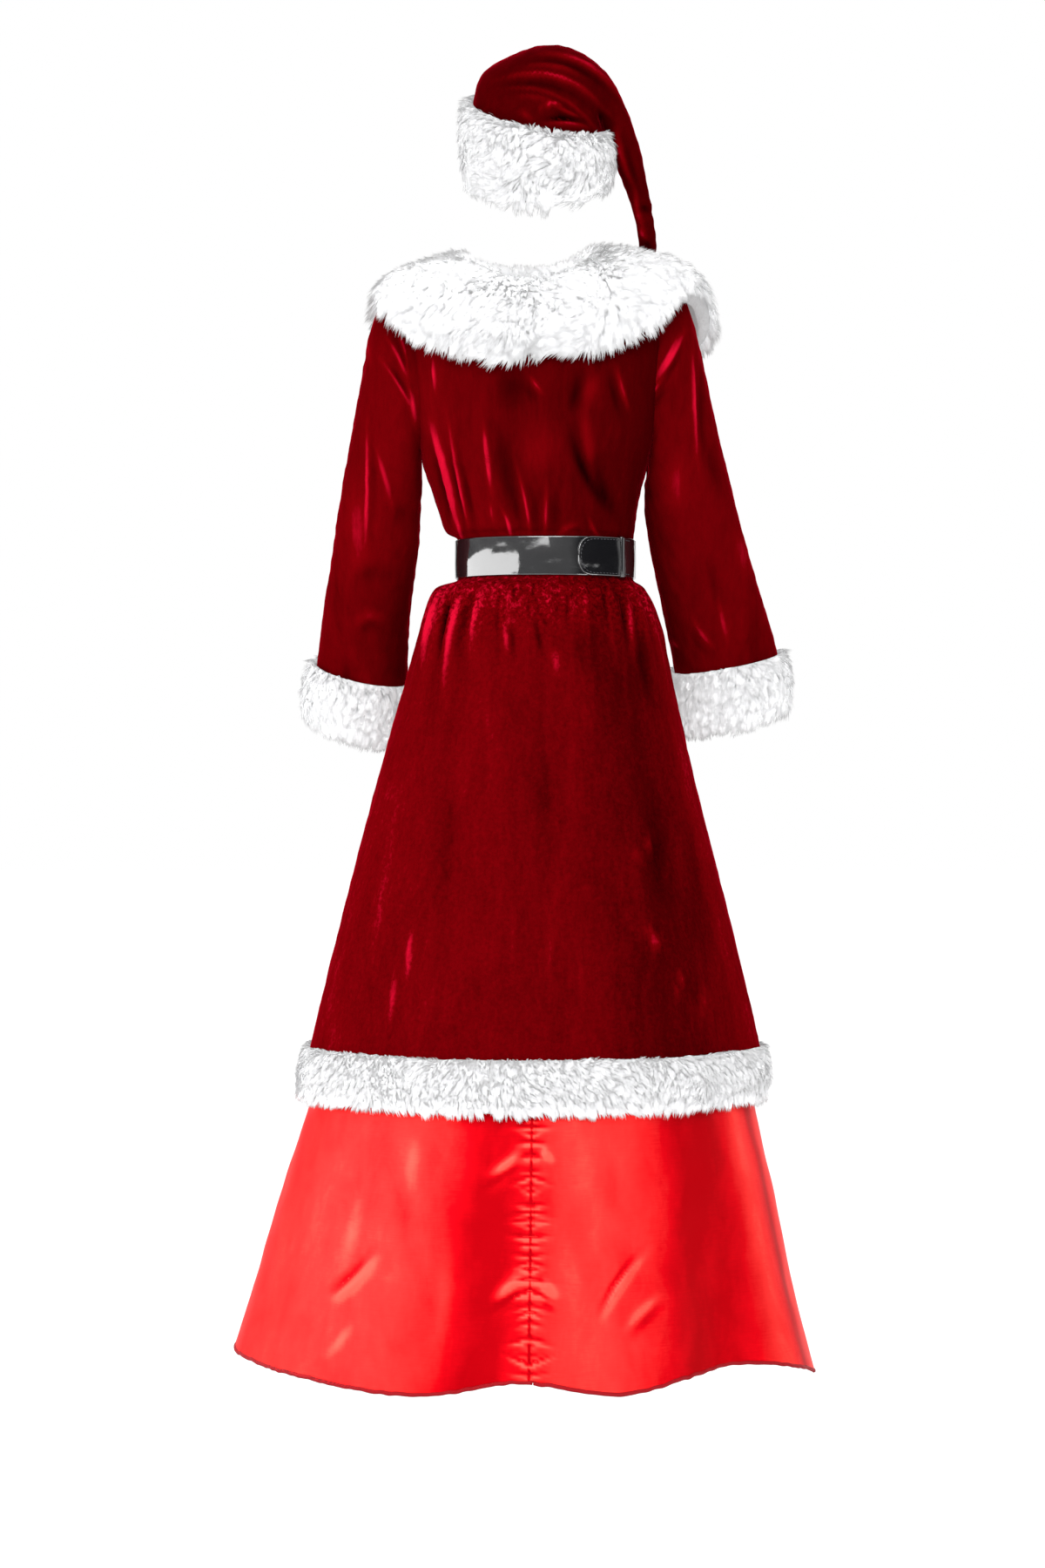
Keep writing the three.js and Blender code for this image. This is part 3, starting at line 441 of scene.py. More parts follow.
# ---- Tables to numbers ----
def rows_at(table, index):
    """The table's columns at fractional row indices, each column smoothed on its own."""
    values = np.array(table, float)
    index = np.asarray(index, float)
    last = len(values) - 1
    start = np.clip(np.floor(index).astype(int), 0, last - 1)
    share = (index - start)[..., None]
    before, near, far, beyond = (values[np.clip(start + step, 0, last)] for step in (-1, 0, 1, 2))
    near_slope = (far - before) / 2
    far_slope = (beyond - near) / 2
    square, cube = share ** 2, share ** 3
    mixed = ((2 * cube - 3 * square + 1) * near + (cube - 2 * square + share) * near_slope
             + (3 * square - 2 * cube) * far + (cube - square) * far_slope)
    return type(table[0])(*np.moveaxis(mixed, -1, 0))


def index_at(table, column, value):
    """The fractional index at which a steadily falling or rising column reaches a value."""
    steps = np.linspace(0, len(table) - 1, 80 * len(table))
    found = getattr(rows_at(table, steps), column)
    if found[-1] < found[0]:
        steps, found = steps[::-1], found[::-1]
    return np.interp(value, found, steps)


def rows_round(table, degrees):
    """The table's columns at angles round the body, for a table with its angles in the column at."""
    return rows_at(table, index_at(table, "at", np.mod(degrees, 360)))


def smooth(low, high, value):
    """0 below low and 1 above high, eased between them."""
    share = np.clip((np.asarray(value, float) - low) / (high - low), 0, 1)
    return share * share * (3 - 2 * share)


def unit(vectors):
    """The same vectors with a length of 1."""
    return vectors / np.maximum(np.linalg.norm(vectors, axis=-1, keepdims=True), 1e-9)


def bell(distance, width):
    """1 in the middle, falling softly to 0 on both sides."""
    return np.exp(-((distance / width) ** 2))


def turn_from(at, degrees):
    """How far round from the angle at each of these is, between -180 and 180."""
    return (degrees - at + 540) % 360 - 180


# ---- Surfaces: each gives points for angles in degrees and fractional ring indices ----
def oval(row, degrees, push, height):
    """Points round a body ring that is pushed out from its own size."""
    cosine, sine = np.cos(np.radians(degrees)), np.sin(np.radians(degrees))
    power = 2 / row.square
    depth = np.where(sine > 0, row.back, row.front)
    dip = np.where(sine > 0, row.dip_back, row.dip_front)
    return np.stack([
        row.x + (row.half + push) * np.sign(cosine) * np.abs(cosine) ** power,
        (depth + push) * np.sign(sine) * np.abs(sine) ** power,
        height - dip * np.abs(sine) ** DIP_POWER,
    ], -1)


def body_surface(table, folds=(), hem=0.0):
    """0 degrees is the wearer's left and 90 is behind them. The folds have their full depth at hem."""
    def surface(degrees, index):
        degrees, index = np.broadcast_arrays(degrees, index)
        row = rows_at(table, index)
        push = np.zeros(degrees.shape)
        for fold in folds:
            grown = np.clip((fold.top - row.z) / (fold.top - hem), 0, FOLD_MOST) ** FOLD_POWER
            push = push + fold.depth * bell(turn_from(fold.at, degrees), fold.width) * grown
        return oval(row, degrees, push, row.z)
    return surface


def tube_surface(table):
    """0 degrees is the tube's outer end and 90 is behind it."""
    def surface(degrees, index):
        degrees, index = np.broadcast_arrays(degrees, index)
        row = rows_at(table, index)
        cosine, sine = np.cos(np.radians(degrees)) / 2, np.sin(np.radians(degrees))
        return np.stack([
            (row.in_x + row.out_x) / 2 + (row.out_x - row.in_x) * cosine,
            row.y + row.deep * sine,
            (row.in_z + row.out_z) / 2 + (row.out_z - row.in_z) * cosine - row.sag * sine,
        ], -1)
    return surface


def frame_on(surface, degrees, index):
    """Unit vectors on a surface: out of it, round it and down its rings."""
    round_it = surface(degrees + 0.5, index) - surface(degrees - 0.5, index)
    down_it = surface(degrees, index + 0.01) - surface(degrees, index - 0.01)
    normals = unit(np.cross(down_it, round_it))
    away = surface(degrees, index) - surface(degrees + 180, index)
    return normals * math.copysign(1, np.sum(normals * away)), unit(round_it), unit(down_it)


def moved(surface, distance):
    """The surface moved out along its own normals."""
    def further(degrees, index):
        return surface(degrees, index) + frame_on(surface, degrees, index)[0] * distance
    return further


trunk = body_surface(TRUNK)
yoke = body_surface(YOKE)
skirt = body_surface(SKIRT, SKIRT_FOLDS, VELVET_HEM)
tier = body_surface(TIER, TIER_FOLDS, TIER[-1].z)
hat = tube_surface(HAT)
HEM_RING = float(index_at(SKIRT, "z", VELVET_HEM))


# ---- Where the sleeves and the trunk meet ----
ARMHOLE_RINGS = 6             # the rings of a sleeve that may lie in the trunk
ARMHOLE_TURN = 70             # the farthest that an armhole reaches round the trunk, degrees


def inside_trunk(points):
    """Above zero inside the bodice and below zero outside it."""
    height = points[..., 2]
    behind = points[..., 1] > 0
    index = index_at(TRUNK, "z", height)
    for _ in range(6):
        row = rows_at(TRUNK, index)
        depth = np.where(behind, row.back, row.front)
        sine = np.clip(np.abs(points[..., 1]) / depth, 0, 1) ** (row.square / 2)
        dip = np.where(behind, row.dip_back, row.dip_front)
        index = index_at(TRUNK, "z", height + dip * sine ** DIP_POWER)
    row = rows_at(TRUNK, index)
    depth = np.where(behind, row.back, row.front)
    across = np.abs((points[..., 0] - row.x) / row.half) ** row.square
    return 1 - across - np.abs(points[..., 1] / depth) ** row.square


def inside_sleeve(points, table):
    """Above zero inside a sleeve and below zero outside it."""
    steps = np.linspace(0, ARMHOLE_RINGS, 121)
    row = rows_at(table, steps)
    hand = math.copysign(1, table[0].in_x)
    side = hand * ((row.out_x - row.in_x) * (points[..., 2, None] - row.in_z)
                   - (row.out_z - row.in_z) * (points[..., 0, None] - row.in_x))
    found = np.clip(np.argmax(side > 0, axis=-1), 1, len(steps) - 1)
    near = np.take_along_axis(side, (found - 1)[..., None], -1)[..., 0]
    far = np.take_along_axis(side, found[..., None], -1)[..., 0]
    row = rows_at(table, steps[found - 1] + (steps[1] - steps[0]) * near / np.minimum(near - far, -1e-9))
    length = (row.out_x - row.in_x) ** 2 + (row.out_z - row.in_z) ** 2
    along = ((points[..., 0] - row.in_x) * (row.out_x - row.in_x)
             + (points[..., 2] - row.in_z) * (row.out_z - row.in_z)) / length
    value = 1 - (2 * along - 1) ** 2 - ((points[..., 1] - row.y) / row.deep) ** 2
    return np.where(side[..., 0] > 0, -1.0, value)


def last_inside(places, values):
    """Where each line of values falls below zero for the last time, or the first place."""
    inside = values > 0
    count = len(places)
    last = count - 1 - np.argmax(inside[..., ::-1], axis=-1)
    last = np.clip(last, 0, count - 2)
    near = np.take_along_axis(values, last[..., None], -1)[..., 0]
    far = np.take_along_axis(values, last[..., None] + 1, -1)[..., 0]
    crossing = places[last] + (places[last + 1] - places[last]) * near / np.maximum(near - far, 1e-9)
    return np.where(inside.any(axis=-1), crossing, places[0])


def armhole_angle(index, table, toward):
    """How far round from the body's side, towards one panel, an armhole reaches on each ring."""
    turns = np.linspace(0, ARMHOLE_TURN, 281)
    start = 0 if table[0].in_x > 0 else 180
    degrees, rings = np.broadcast_arrays(start + toward * turns[None, :], np.asarray(index)[:, None])
    return last_inside(turns, inside_sleeve(trunk(degrees, rings), table))


def sleeve_start(degrees, table):
    """The ring index at which each line down a sleeve comes out of the bodice."""
    steps = np.linspace(0, ARMHOLE_RINGS, 241)
    turns, rings = np.broadcast_arrays(np.asarray(degrees)[:, None], steps[None, :])
    return last_inside(steps, inside_trunk(tube_surface(table)(turns, rings)))


# ---- How the cloth lies: lifts from its plain surface, in millimetres ----
def creases_lift(points, creases):
    """How high the creases stand, and the highlight (above 0) or shade painted on them, on the ridges and in
    the hollows.
    """
    across, up = points[..., 0], points[..., 2]
    total = np.zeros(across.shape)
    for crease in creases:
        way = np.array([crease.to_x - crease.x, crease.to_z - crease.z])
        length = np.hypot(*way)
        along = ((across - crease.x) * way[0] + (up - crease.z) * way[1]) / length ** 2
        aside = ((across - crease.x) * way[1] - (up - crease.z) * way[0]) / length
        aside = aside - crease.bow * 4 * along * (1 - along)
        rise = np.clip(along / crease.peak, 0, 1)
        fall = np.clip((1 - along) / (1 - crease.peak), 0, 1)
        fade = smooth(0, 1, np.minimum(rise, fall))
        total += crease.depth * fade * bell(aside, crease.width)
    return total, np.where(total > 0, total / HIGHLIGHT_HEIGHT, total / SHADE_DEPTH)


def creased(creases):
    """A lift that is only these creases."""
    return lambda points, degrees: creases_lift(points, creases)


def gathers_lift(degrees, height, gathers, top):
    """Gathers that start under an edge at the height top and hang down from it."""
    total = np.zeros(np.shape(degrees))
    below = top - height
    for gather in gathers:
        further = np.maximum(below - GATHER_START, 0) / gather.length
        fade = smooth(0, GATHER_START, below) * np.exp(-(further ** 1.4))
        total += gather.height * fade * bell(turn_from(gather.at, degrees), gather.width)
    return total


def ripple(points, wavelength, seed):
    """A smooth random lift, mostly between -1 and 1, of about this wavelength."""
    draw = np.random.default_rng(seed)
    total = np.zeros(points.shape[:-1])
    waves = 14
    for _ in range(waves):
        direction = unit(draw.normal(size=3)) * 2 * math.pi / (wavelength * draw.uniform(0.7, 1.5))
        total += np.sin(points @ direction + draw.uniform(0, 2 * math.pi))
    return total / math.sqrt(waves)


# ---- Meshes ----
def mesh_object(name, points, polygons, material, bake_map=None, painted_light=None):
    """polygons holds arrays of corner indices, one array for each number of corners.

    bake_map has a texture place for each point, and the last argument the highlight (above 0)
    or shade that is painted at each point.
    """
    mesh = bpy.data.meshes.new(name)
    corners = np.concatenate([block.ravel() for block in polygons]).astype(np.int32)
    sizes = np.concatenate([np.full(len(block), block.shape[1]) for block in polygons])
    starts = np.concatenate([[0], np.cumsum(sizes)[:-1]]).astype(np.int32)
    mesh.vertices.add(len(points))
    mesh.vertices.foreach_set("co", (np.asarray(points, float) * MM).ravel())
    mesh.loops.add(len(corners))
    mesh.loops.foreach_set("vertex_index", corners)
    mesh.polygons.add(len(sizes))
    mesh.polygons.foreach_set("loop_start", starts)
    mesh.polygons.foreach_set("use_smooth", np.ones(len(sizes), bool))
    mesh.update(calc_edges=True)
    if bake_map is not None:
        layer = mesh.uv_layers.new(name="OFBake")
        layer.uv.foreach_set("vector", bake_map[corners].astype(np.float32).ravel())
    if painted_light is not None:
        mesh.attributes.new("painted_light", "FLOAT", "POINT").data.foreach_set("value", painted_light.astype(np.float32))
    mesh.materials.append(material)
    mesh.validate()
    piece = bpy.data.objects.new(name, mesh)
    bpy.context.scene.collection.objects.link(piece)
    return piece


def wall_polygons(rows, columns, closed):
    """A fine outer grid, an inner grid with half as many cells each way, and the edges between them."""
    wide = columns if closed else columns + 1
    half_rows, half_columns = rows // 2, columns // 2
    half_wide = half_columns if closed else half_columns + 1
    base = (rows + 1) * wide

    def outer(j, i):
        return j * wide + i % wide

    def inner(j, i):
        return base + j * half_wide + i % half_wide

    j, i = (grid.ravel() for grid in np.mgrid[0:rows, 0:columns])
    outside = np.stack([outer(j, i), outer(j + 1, i), outer(j + 1, i + 1), outer(j, i + 1)], -1)
    j, i = (grid.ravel() for grid in np.mgrid[0:half_rows, 0:half_columns])
    inside = np.stack([inner(j, i), inner(j, i + 1), inner(j + 1, i + 1), inner(j + 1, i)], -1)
    k = np.arange(half_columns)
    top = [outer(0, 2 * k), outer(0, 2 * k + 1), outer(0, 2 * k + 2), inner(0, k + 1), inner(0, k)]
    bottom = [inner(half_rows, k), inner(half_rows, k + 1), outer(rows, 2 * k + 2),
              outer(rows, 2 * k + 1), outer(rows, 2 * k)]
    rims = [np.stack(top, -1), np.stack(bottom, -1)]
    if not closed:
        k = np.arange(half_rows)
        first = [inner(k, 0), inner(k + 1, 0), outer(2 * k + 2, 0), outer(2 * k + 1, 0), outer(2 * k, 0)]
        last = [outer(2 * k, columns), outer(2 * k + 1, columns), outer(2 * k + 2, columns),
                inner(k + 1, half_columns), inner(k, half_columns)]
        rims += [np.stack(first, -1), np.stack(last, -1)]
    return [np.concatenate([outside, inside]), np.concatenate(rims)]


def signed_volume(points, polygons):
    total = 0.0
    for block in polygons:
        for k in range(1, block.shape[1] - 1):
            one, two, three = (points[block[:, corner]] for corner in (0, k, k + 1))
            total += np.sum(one * np.cross(two, three))
    return total


def closed_object(name, points, polygons, material, painted_light=None):
    """A closed mesh, with its faces turned outward."""
    if signed_volume(points, polygons) < 0:
        polygons = [block[:, ::-1] for block in polygons]
    return mesh_object(name, points, polygons, material, painted_light=painted_light)


def wall_object(name, outer, inner, closed, material, painted_light=None):
    """A closed mesh between an outer grid of points and an inner one with half as many cells each way."""
    rows = outer.shape[0] - 1
    columns = outer.shape[1] - (0 if closed else 1)
    points = np.concatenate([outer.reshape(-1, 3), inner.reshape(-1, 3)])
    if painted_light is not None:
        painted_light = np.concatenate([painted_light.ravel(), np.zeros(inner[..., 0].size)])
    return closed_object(name, points, wall_polygons(rows, columns, closed), material, painted_light)


def ropes(name, pieces, half_across, half_out, sides, tip_size, material):
    """Ropes of oval section in one mesh. Each piece has its middles and its section's two unit vectors.

    tip_size is the size of the section at a rope's two tips, as a share of the rest.
    """
    turns = np.linspace(0, 2 * math.pi, sides, endpoint=False)
    first = np.arange(sides)
    points, quads, caps, base = [], [], [], 0
    for middles, across, out in pieces:
        count = len(middles)
        across, out = (np.broadcast_to(way, middles.shape)[:, None] for way in (across, out))
        ring = across * (half_across * np.cos(turns))[:, None] + out * (half_out * np.sin(turns))[:, None]
        taper = np.array([tip_size] + [1.0] * (count - 2) + [tip_size])[:, None, None]
        points.append((middles[:, None] + ring * taper).reshape(-1, 3))
        j, i = (line.ravel() for line in np.mgrid[0:count - 1, 0:sides])
        here, beside = j * sides + i, j * sides + (i + 1) % sides
        quads.append(base + np.stack([here, here + sides, beside + sides, beside], -1))
        caps.append(base + np.stack([first, (count - 1) * sides + first[::-1]]))
        base += count * sides
    points, quads, caps = (np.concatenate(parts) for parts in (points, quads, caps))
    return closed_object(name, points, [quads, caps], material)


def sunk_edges(points, edges):
    """How far a seam pulls the cloth in along the named edges of a grid of points."""
    lines = {"bottom": points[-1:], "first": points[:, :1], "last": points[:, -1:]}
    total = np.zeros(points.shape[:-1])
    for edge in edges:
        distance = np.linalg.norm(points - lines[edge], axis=-1)
        total -= SEAM_DEPTH * bell(distance, SEAM_WIDTH)
    return total


def cloth(name, surface, place, lift, thickness, material, rough, closed=False, seams=()):
    """A wall of cloth on a surface. place is its grid of angles and of ring indices.

    lift gives the creases' height and the highlight or shade painted there. rough is the height and the
    wavelength of the unevenness over them.
    """
    degrees, index = (line[:, :-1] if closed else line for line in place)
    points = surface(degrees, index)
    normals = frame_on(surface, degrees, index)[0]
    shape, painted_light = lift(points, degrees)
    height = shape + rough[0] * ripple(points, rough[1], len(name)) + sunk_edges(points, seams)
    outer = points + normals * height[..., None]
    inner = points[::2, ::2] + normals[::2, ::2] * (height[::2, ::2] - thickness)[..., None]
    return wall_object(name, outer, inner, closed, material, painted_light=np.clip(painted_light, -1, 1))


CLOSER = 1.3                  # power that draws a grid's columns together


def grid(start, end, first, last, columns, rows, close_to=None):
    """Angles from start to end and indices from first to last. Each may differ from line to line.

    The columns may stand closer together towards the start (0) or the end (1).
    """
    across = np.linspace(0, 1, columns + 1)[None, :]
    if close_to is not None:
        across = across ** CLOSER if close_to == 0 else 1 - (1 - across) ** CLOSER
    down = np.linspace(0, 1, rows + 1)[:, None]
    start, end = (np.reshape(np.broadcast_to(edge, rows + 1), (-1, 1)) for edge in (start, end))
    degrees = start + (end - start) * across
    first, last = (edge(degrees) if callable(edge) else edge for edge in (first, last))
    return degrees, first + (last - first) * down + np.zeros(degrees.shape)


# ---- Shader nodes ----
def put(tree, kind, inputs, **settings):
    """A node whose named (or numbered) inputs are values or other nodes' sockets."""
    made = tree.nodes.new(kind)
    for setting, value in settings.items():
        setattr(made, setting, value)
    for name, value in inputs.items():
        if isinstance(value, bpy.types.NodeSocket):
            tree.links.new(value, made.inputs[name])
        else:
            made.inputs[name].default_value = value
    return made


def sums(tree, operation, *values):
    """The result of a sum on numbers or other nodes' sockets."""
    numbers = put(tree, "ShaderNodeMath", dict(enumerate(values)), operation=operation)
    return numbers.outputs[0]


def blend_colours(tree, share, low, high):
    """A colour that is low at a share of 0 and high at 1."""
    mixed = put(tree, "ShaderNodeMix", {0: share, 6: low, 7: high}, data_type="RGBA")
    return mixed.outputs[2]


def weighted(tree, share, first, second):
    """A share of the first number and the rest of the second."""
    return sums(tree, "ADD", sums(tree, "MULTIPLY", first, share), sums(tree, "MULTIPLY", second, 1 - share))


def mapped(tree, value, low, high, to_low, to_high, **settings):
    """A value between low and high taken to one between to_low and to_high."""
    ends = {"Value": value, "From Min": low, "From Max": high, "To Min": to_low, "To Max": to_high}
    return put(tree, "ShaderNodeMapRange", ends, **settings).outputs[0]


def noise(tree, place, scale, detail, roughness=0.5, distortion=0.0):
    """Soft spots, between 0 and 1."""
    return put(tree, "ShaderNodeTexNoise", {
        "Vector": place, "Scale": scale, "Detail": detail, "Roughness": roughness, "Distortion": distortion,
    }).outputs["Fac"]


def diagonal_lines(tree, place, scale, distortion, detail):
    """Lines aslant, between 0 and 1."""
    inputs = {"Vector": place, "Scale": scale, "Distortion": distortion, "Detail": detail}
    return put(tree, "ShaderNodeTexWave", inputs, bands_direction="DIAGONAL").outputs["Fac"]


def object_place(tree):
    """Each point's place in the object, in metres."""
    return put(tree, "ShaderNodeTexCoord", {}).outputs["Object"]


def colour_ramp(tree, share, stops):
    """The colour at a share of the way through stops, each a position and a colour."""
    made = put(tree, "ShaderNodeValToRGB", {"Fac": share})
    elements = made.color_ramp.elements
    elements[0].position, elements[0].color = stops[0]
    elements[1].position, elements[1].color = stops[-1]
    for position, colour in stops[1:-1]:
        elements.new(position).color = colour
    return made.outputs["Color"]


def group(name, inputs, outputs):
    """An empty node group with these inputs (with their first values) and outputs."""
    made = bpy.data.node_groups.new(name, "ShaderNodeTree")
    for label, value in inputs.items():
        socket = made.interface.new_socket(label, in_out="INPUT", socket_type="NodeSocketFloat")
        socket.default_value = value
    for label in outputs:
        made.interface.new_socket(label, in_out="OUTPUT", socket_type="NodeSocketFloat")
    return made, made.nodes.new("NodeGroupInput").outputs, made.nodes.new("NodeGroupOutput").inputs


def pile_marks():
    """How pile lies: broad patches with finer streaks down the cloth, and crushed spots."""
    tree, given, out = group("Pile marks", {"Patches": 14.0, "Streaks": 90.0, "Stretch": 0.2},
                             ["Shade", "Crush", "Height"])
    place = object_place(tree)
    stretch = put(tree, "ShaderNodeCombineXYZ", {"X": 1.0, "Y": 1.0, "Z": given["Stretch"]}).outputs[0]
    drawn_out = put(tree, "ShaderNodeVectorMath", {0: place, 1: stretch}, operation="MULTIPLY").outputs[0]
    patches = noise(tree, drawn_out, given["Patches"], 3.0, 0.55, 0.8)
    streaks = noise(tree, drawn_out, given["Streaks"], 4.0, 0.7, 0.3)
    tufts = noise(tree, place, 900.0, 2.0, 0.6)
    tree.links.new(noise(tree, place, 210.0, 4.0, 0.62, 0.6), out["Crush"])
    tree.links.new(weighted(tree, 0.55, patches, streaks), out["Shade"])
    tree.links.new(weighted(tree, 0.8, streaks, tufts), out["Height"])
    return tree


def woven_threads():
    """The fine diagonal line of a satin weave, and a thread that stands out here and there."""
    tree, given, out = group("Woven threads", {"Threads": 2600.0, "Slubs": 60.0}, ["Height", "Shade"])
    place = object_place(tree)
    lines = diagonal_lines(tree, place, given["Threads"], 1.5, 2.0)
    long_way = put(tree, "ShaderNodeVectorMath", {0: place, 1: (1, 1, 14)}, operation="MULTIPLY").outputs[0]
    slubs = noise(tree, long_way, given["Slubs"], 3.0, 0.6)
    tree.links.new(weighted(tree, 0.12, lines, slubs), out["Height"])
    tree.links.new(slubs, out["Shade"])
    return tree


def lit_marked_shade():
    """A shade of Base where the cloth is smooth, changed by its marks and by the highlight and shade painted
    on the mesh.
    """
    tree, given, out = group("Painted light and marks", {"Base": 0.5, "Marks": 0.5, "Spread": 0.6}, ["Shade"])
    lit_and_shaded = put(tree, "ShaderNodeAttribute", {}, attribute_name="painted_light").outputs["Fac"]
    shade = sums(tree, "MULTIPLY_ADD", lit_and_shaded, 0.5, given["Base"])
    marks = sums(tree, "SUBTRACT", given["Marks"], 0.5)
    tree.links.new(sums(tree, "MULTIPLY_ADD", marks, given["Spread"], shade), out["Shade"])
    return tree


def twisted_plies():
    """How the plies of a twisted thread stand out, with a low line between them."""
    tree, given, out = group("Twisted plies", {"Plies": 420.0}, ["Height"])
    tree.links.new(diagonal_lines(tree, object_place(tree), given["Plies"], 2.0, 1.0), out["Height"])
    return tree


PILE_MARKS = pile_marks()
WOVEN_THREADS = woven_threads()
LIT_MARKED_SHADE = lit_marked_shade()
TWISTED_PLIES = twisted_plies()


def material(name, **values):
    """A material, its node tree and its shader, with these values on the shader's own sockets."""
    made = bpy.data.materials.new(name)
    made.use_nodes = True
    shader = made.node_tree.nodes["Principled BSDF"]
    for label, value in values.items():
        shader.inputs[label.replace("_", " ")].default_value = value
    return made, made.node_tree, shader


def grouped(tree, effect, **values):
    """The outputs of an effect that has these inputs."""
    return put(tree, "ShaderNodeGroup", values, node_tree=effect).outputs


def bumped(tree, shader, height, strength, distance):
    """Roughens the shader's surface by a height, and gives the roughened normal."""
    bump = put(tree, "ShaderNodeBump", {"Height": height, "Strength": strength, "Distance": distance})
    tree.links.new(bump.outputs["Normal"], shader.inputs["Normal"])
    return bump.outputs["Normal"]


# ---- Finishes ----
# Velvet colours from deepest to brightest: the dark end serves for painted shade in hollows and on the
# darker side, and the bright crimson end for painted highlights on ridges, as well as for the pile's marks.
VELVET_STOPS = [
    (0.0, (0.008, 0.0, 0.0002, 1)),
    (0.35, (0.050, 0.0001, 0.0006, 1)),
    (0.68, (0.125, 0.0003, 0.0016, 1)),
    (1.0, (0.46, 0.003, 0.020, 1)),
]
# Satin colours from deep to bright: the deep end serves for the painted shade of its dark bands and hollows,
# and the bright end for painted sheen and highlights, as well as for its mottling.
SATIN_STOPS = [
    (0.0, (0.40, 0.0, 0.003, 1)),
    (0.3, (0.62, 0.001, 0.006, 1)),
    (0.7, (0.84, 0.030, 0.027, 1)),
    (1.0, (0.93, 0.085, 0.062, 1)),
]
# The fur's root colour is greyer than its tip: painted shade deep in the pile.
FUR_SHADED_ROOT = (0.37, 0.373, 0.382, 1)
FUR_TIP = (0.43, 0.43, 0.433, 1)
FUR_GLOW = 0.2                # light given off in place of what the pile would scatter
WHITE = (1, 1, 1, 1)
BLACK = (0.006, 0.006, 0.007, 1)
POLISH = 0.14                 # roughness of the patent skin where it isn't rubbed, and how much rubbing adds
RUBBING = 0.14


def velvet(name, base, patches, streaks, stretch, spread, crushed=None):
    """base is the shade of smooth pile, between 0 and 1, and spread is how far the marks go from it.

    crushed has the heights, in metres, between which the cloth goes from smooth to badly crushed.
    """
    made, tree, shader = material(
        name, Roughness=0.8, Specular_IOR_Level=0.0, Sheen_Weight=0.42, Sheen_Roughness=0.24,
        Sheen_Tint=(0.9, 0.006, 0.03, 1),
    )
    marks = grouped(tree, PILE_MARKS, Patches=patches, Streaks=streaks, Stretch=stretch)
    shade = grouped(tree, LIT_MARKED_SHADE, Base=base, Marks=marks["Shade"], Spread=spread)["Shade"]
    if crushed:
        height = put(tree, "ShaderNodeSeparateXYZ", {0: object_place(tree)}).outputs["Z"]
        near = mapped(tree, height, *crushed, 0.4, 1.5, interpolation_type="SMOOTHSTEP")
        shade = sums(tree, "MULTIPLY_ADD", sums(tree, "SUBTRACT", marks["Crush"], 0.45), near, shade)
    tree.links.new(colour_ramp(tree, shade, VELVET_STOPS), shader.inputs["Base Color"])
    bumped(tree, shader, marks["Height"], 0.4, 0.0010)
    return made


def satin():
    """Woven satin with soft mottling, and highlight and shade painted where its creases, puckers and bands
    of sheen are.
    """
    made, tree, shader = material(
        "satin", Roughness=0.42, Metallic=0.3, Specular_IOR_Level=0.05, Specular_Tint=(1, 0.3, 0.25, 1),
    )
    threads = grouped(tree, WOVEN_THREADS)
    marks = grouped(tree, PILE_MARKS, Patches=8.0, Streaks=26.0, Stretch=0.5)
    lit_marked = grouped(tree, LIT_MARKED_SHADE, Base=0.42, Marks=marks["Shade"], Spread=1.1)["Shade"]
    shade = sums(tree, "MULTIPLY_ADD", threads["Shade"], 0.2, lit_marked)
    tree.links.new(colour_ramp(tree, shade, SATIN_STOPS), shader.inputs["Base Color"])
    bumped(tree, shader, threads["Height"], 0.12, 0.0006)
    return made


def white_pile(name, roughness, shine, depth):
    """White pile into which light goes to this depth, in metres."""
    made, tree, shader = material(
        name, Roughness=roughness, Specular_IOR_Level=shine, Sheen_Weight=0.2, Sheen_Roughness=0.5,
        Subsurface_Weight=0.85, Subsurface_Radius=(1, 1, 1), Subsurface_Scale=depth,
        Emission_Color=WHITE, Emission_Strength=FUR_GLOW,
    )
    shader.subsurface_method = "BURLEY"
    return made, tree, shader


def fur_strands():
    """Each strand's colour runs from a greyer root, painted shade deep in the pile, to its tip, a little
    different from the next.

    A strand's front is shaded like the pile around it, and its back by its own faces.
    """
    made, tree, shader = white_pile("fur_strands", 0.75, 0.2, 0.006)
    strand = put(tree, "ShaderNodeUVMap", {}, uv_map="OFBake").outputs["UV"]
    along = put(tree, "ShaderNodeSeparateXYZ", {0: strand}).outputs["Y"]
    own = noise(tree, strand, 7.0, 1.0)
    share = sums(tree, "MULTIPLY_ADD", sums(tree, "SUBTRACT", own, 0.5), 0.5, along)
    tree.links.new(blend_colours(tree, share, FUR_SHADED_ROOT, FUR_TIP), shader.inputs["Base Color"])
    face = put(tree, "ShaderNodeNewGeometry", {}).outputs
    normal = put(tree, "ShaderNodeMix", {0: face["Backfacing"], 4: face["Normal"], 5: face["True Normal"]},
                 data_type="VECTOR").outputs[1]
    tree.links.new(normal, shader.inputs["Normal"])
    return made


def fur_ground():
    """The short, dense pile between the strands."""
    made, tree, shader = white_pile("fur_ground", 0.85, 0.15, 0.007)
    marks = grouped(tree, PILE_MARKS, Patches=60.0, Streaks=320.0, Stretch=0.6)
    # Its colour runs in random marks between the greyer root colour, painted shade deep in the pile, and the
    # tip colour.
    tree.links.new(blend_colours(tree, marks["Shade"], FUR_SHADED_ROOT, FUR_TIP), shader.inputs["Base Color"])
    bumped(tree, shader, marks["Height"], 0.8, 0.003)
    return made


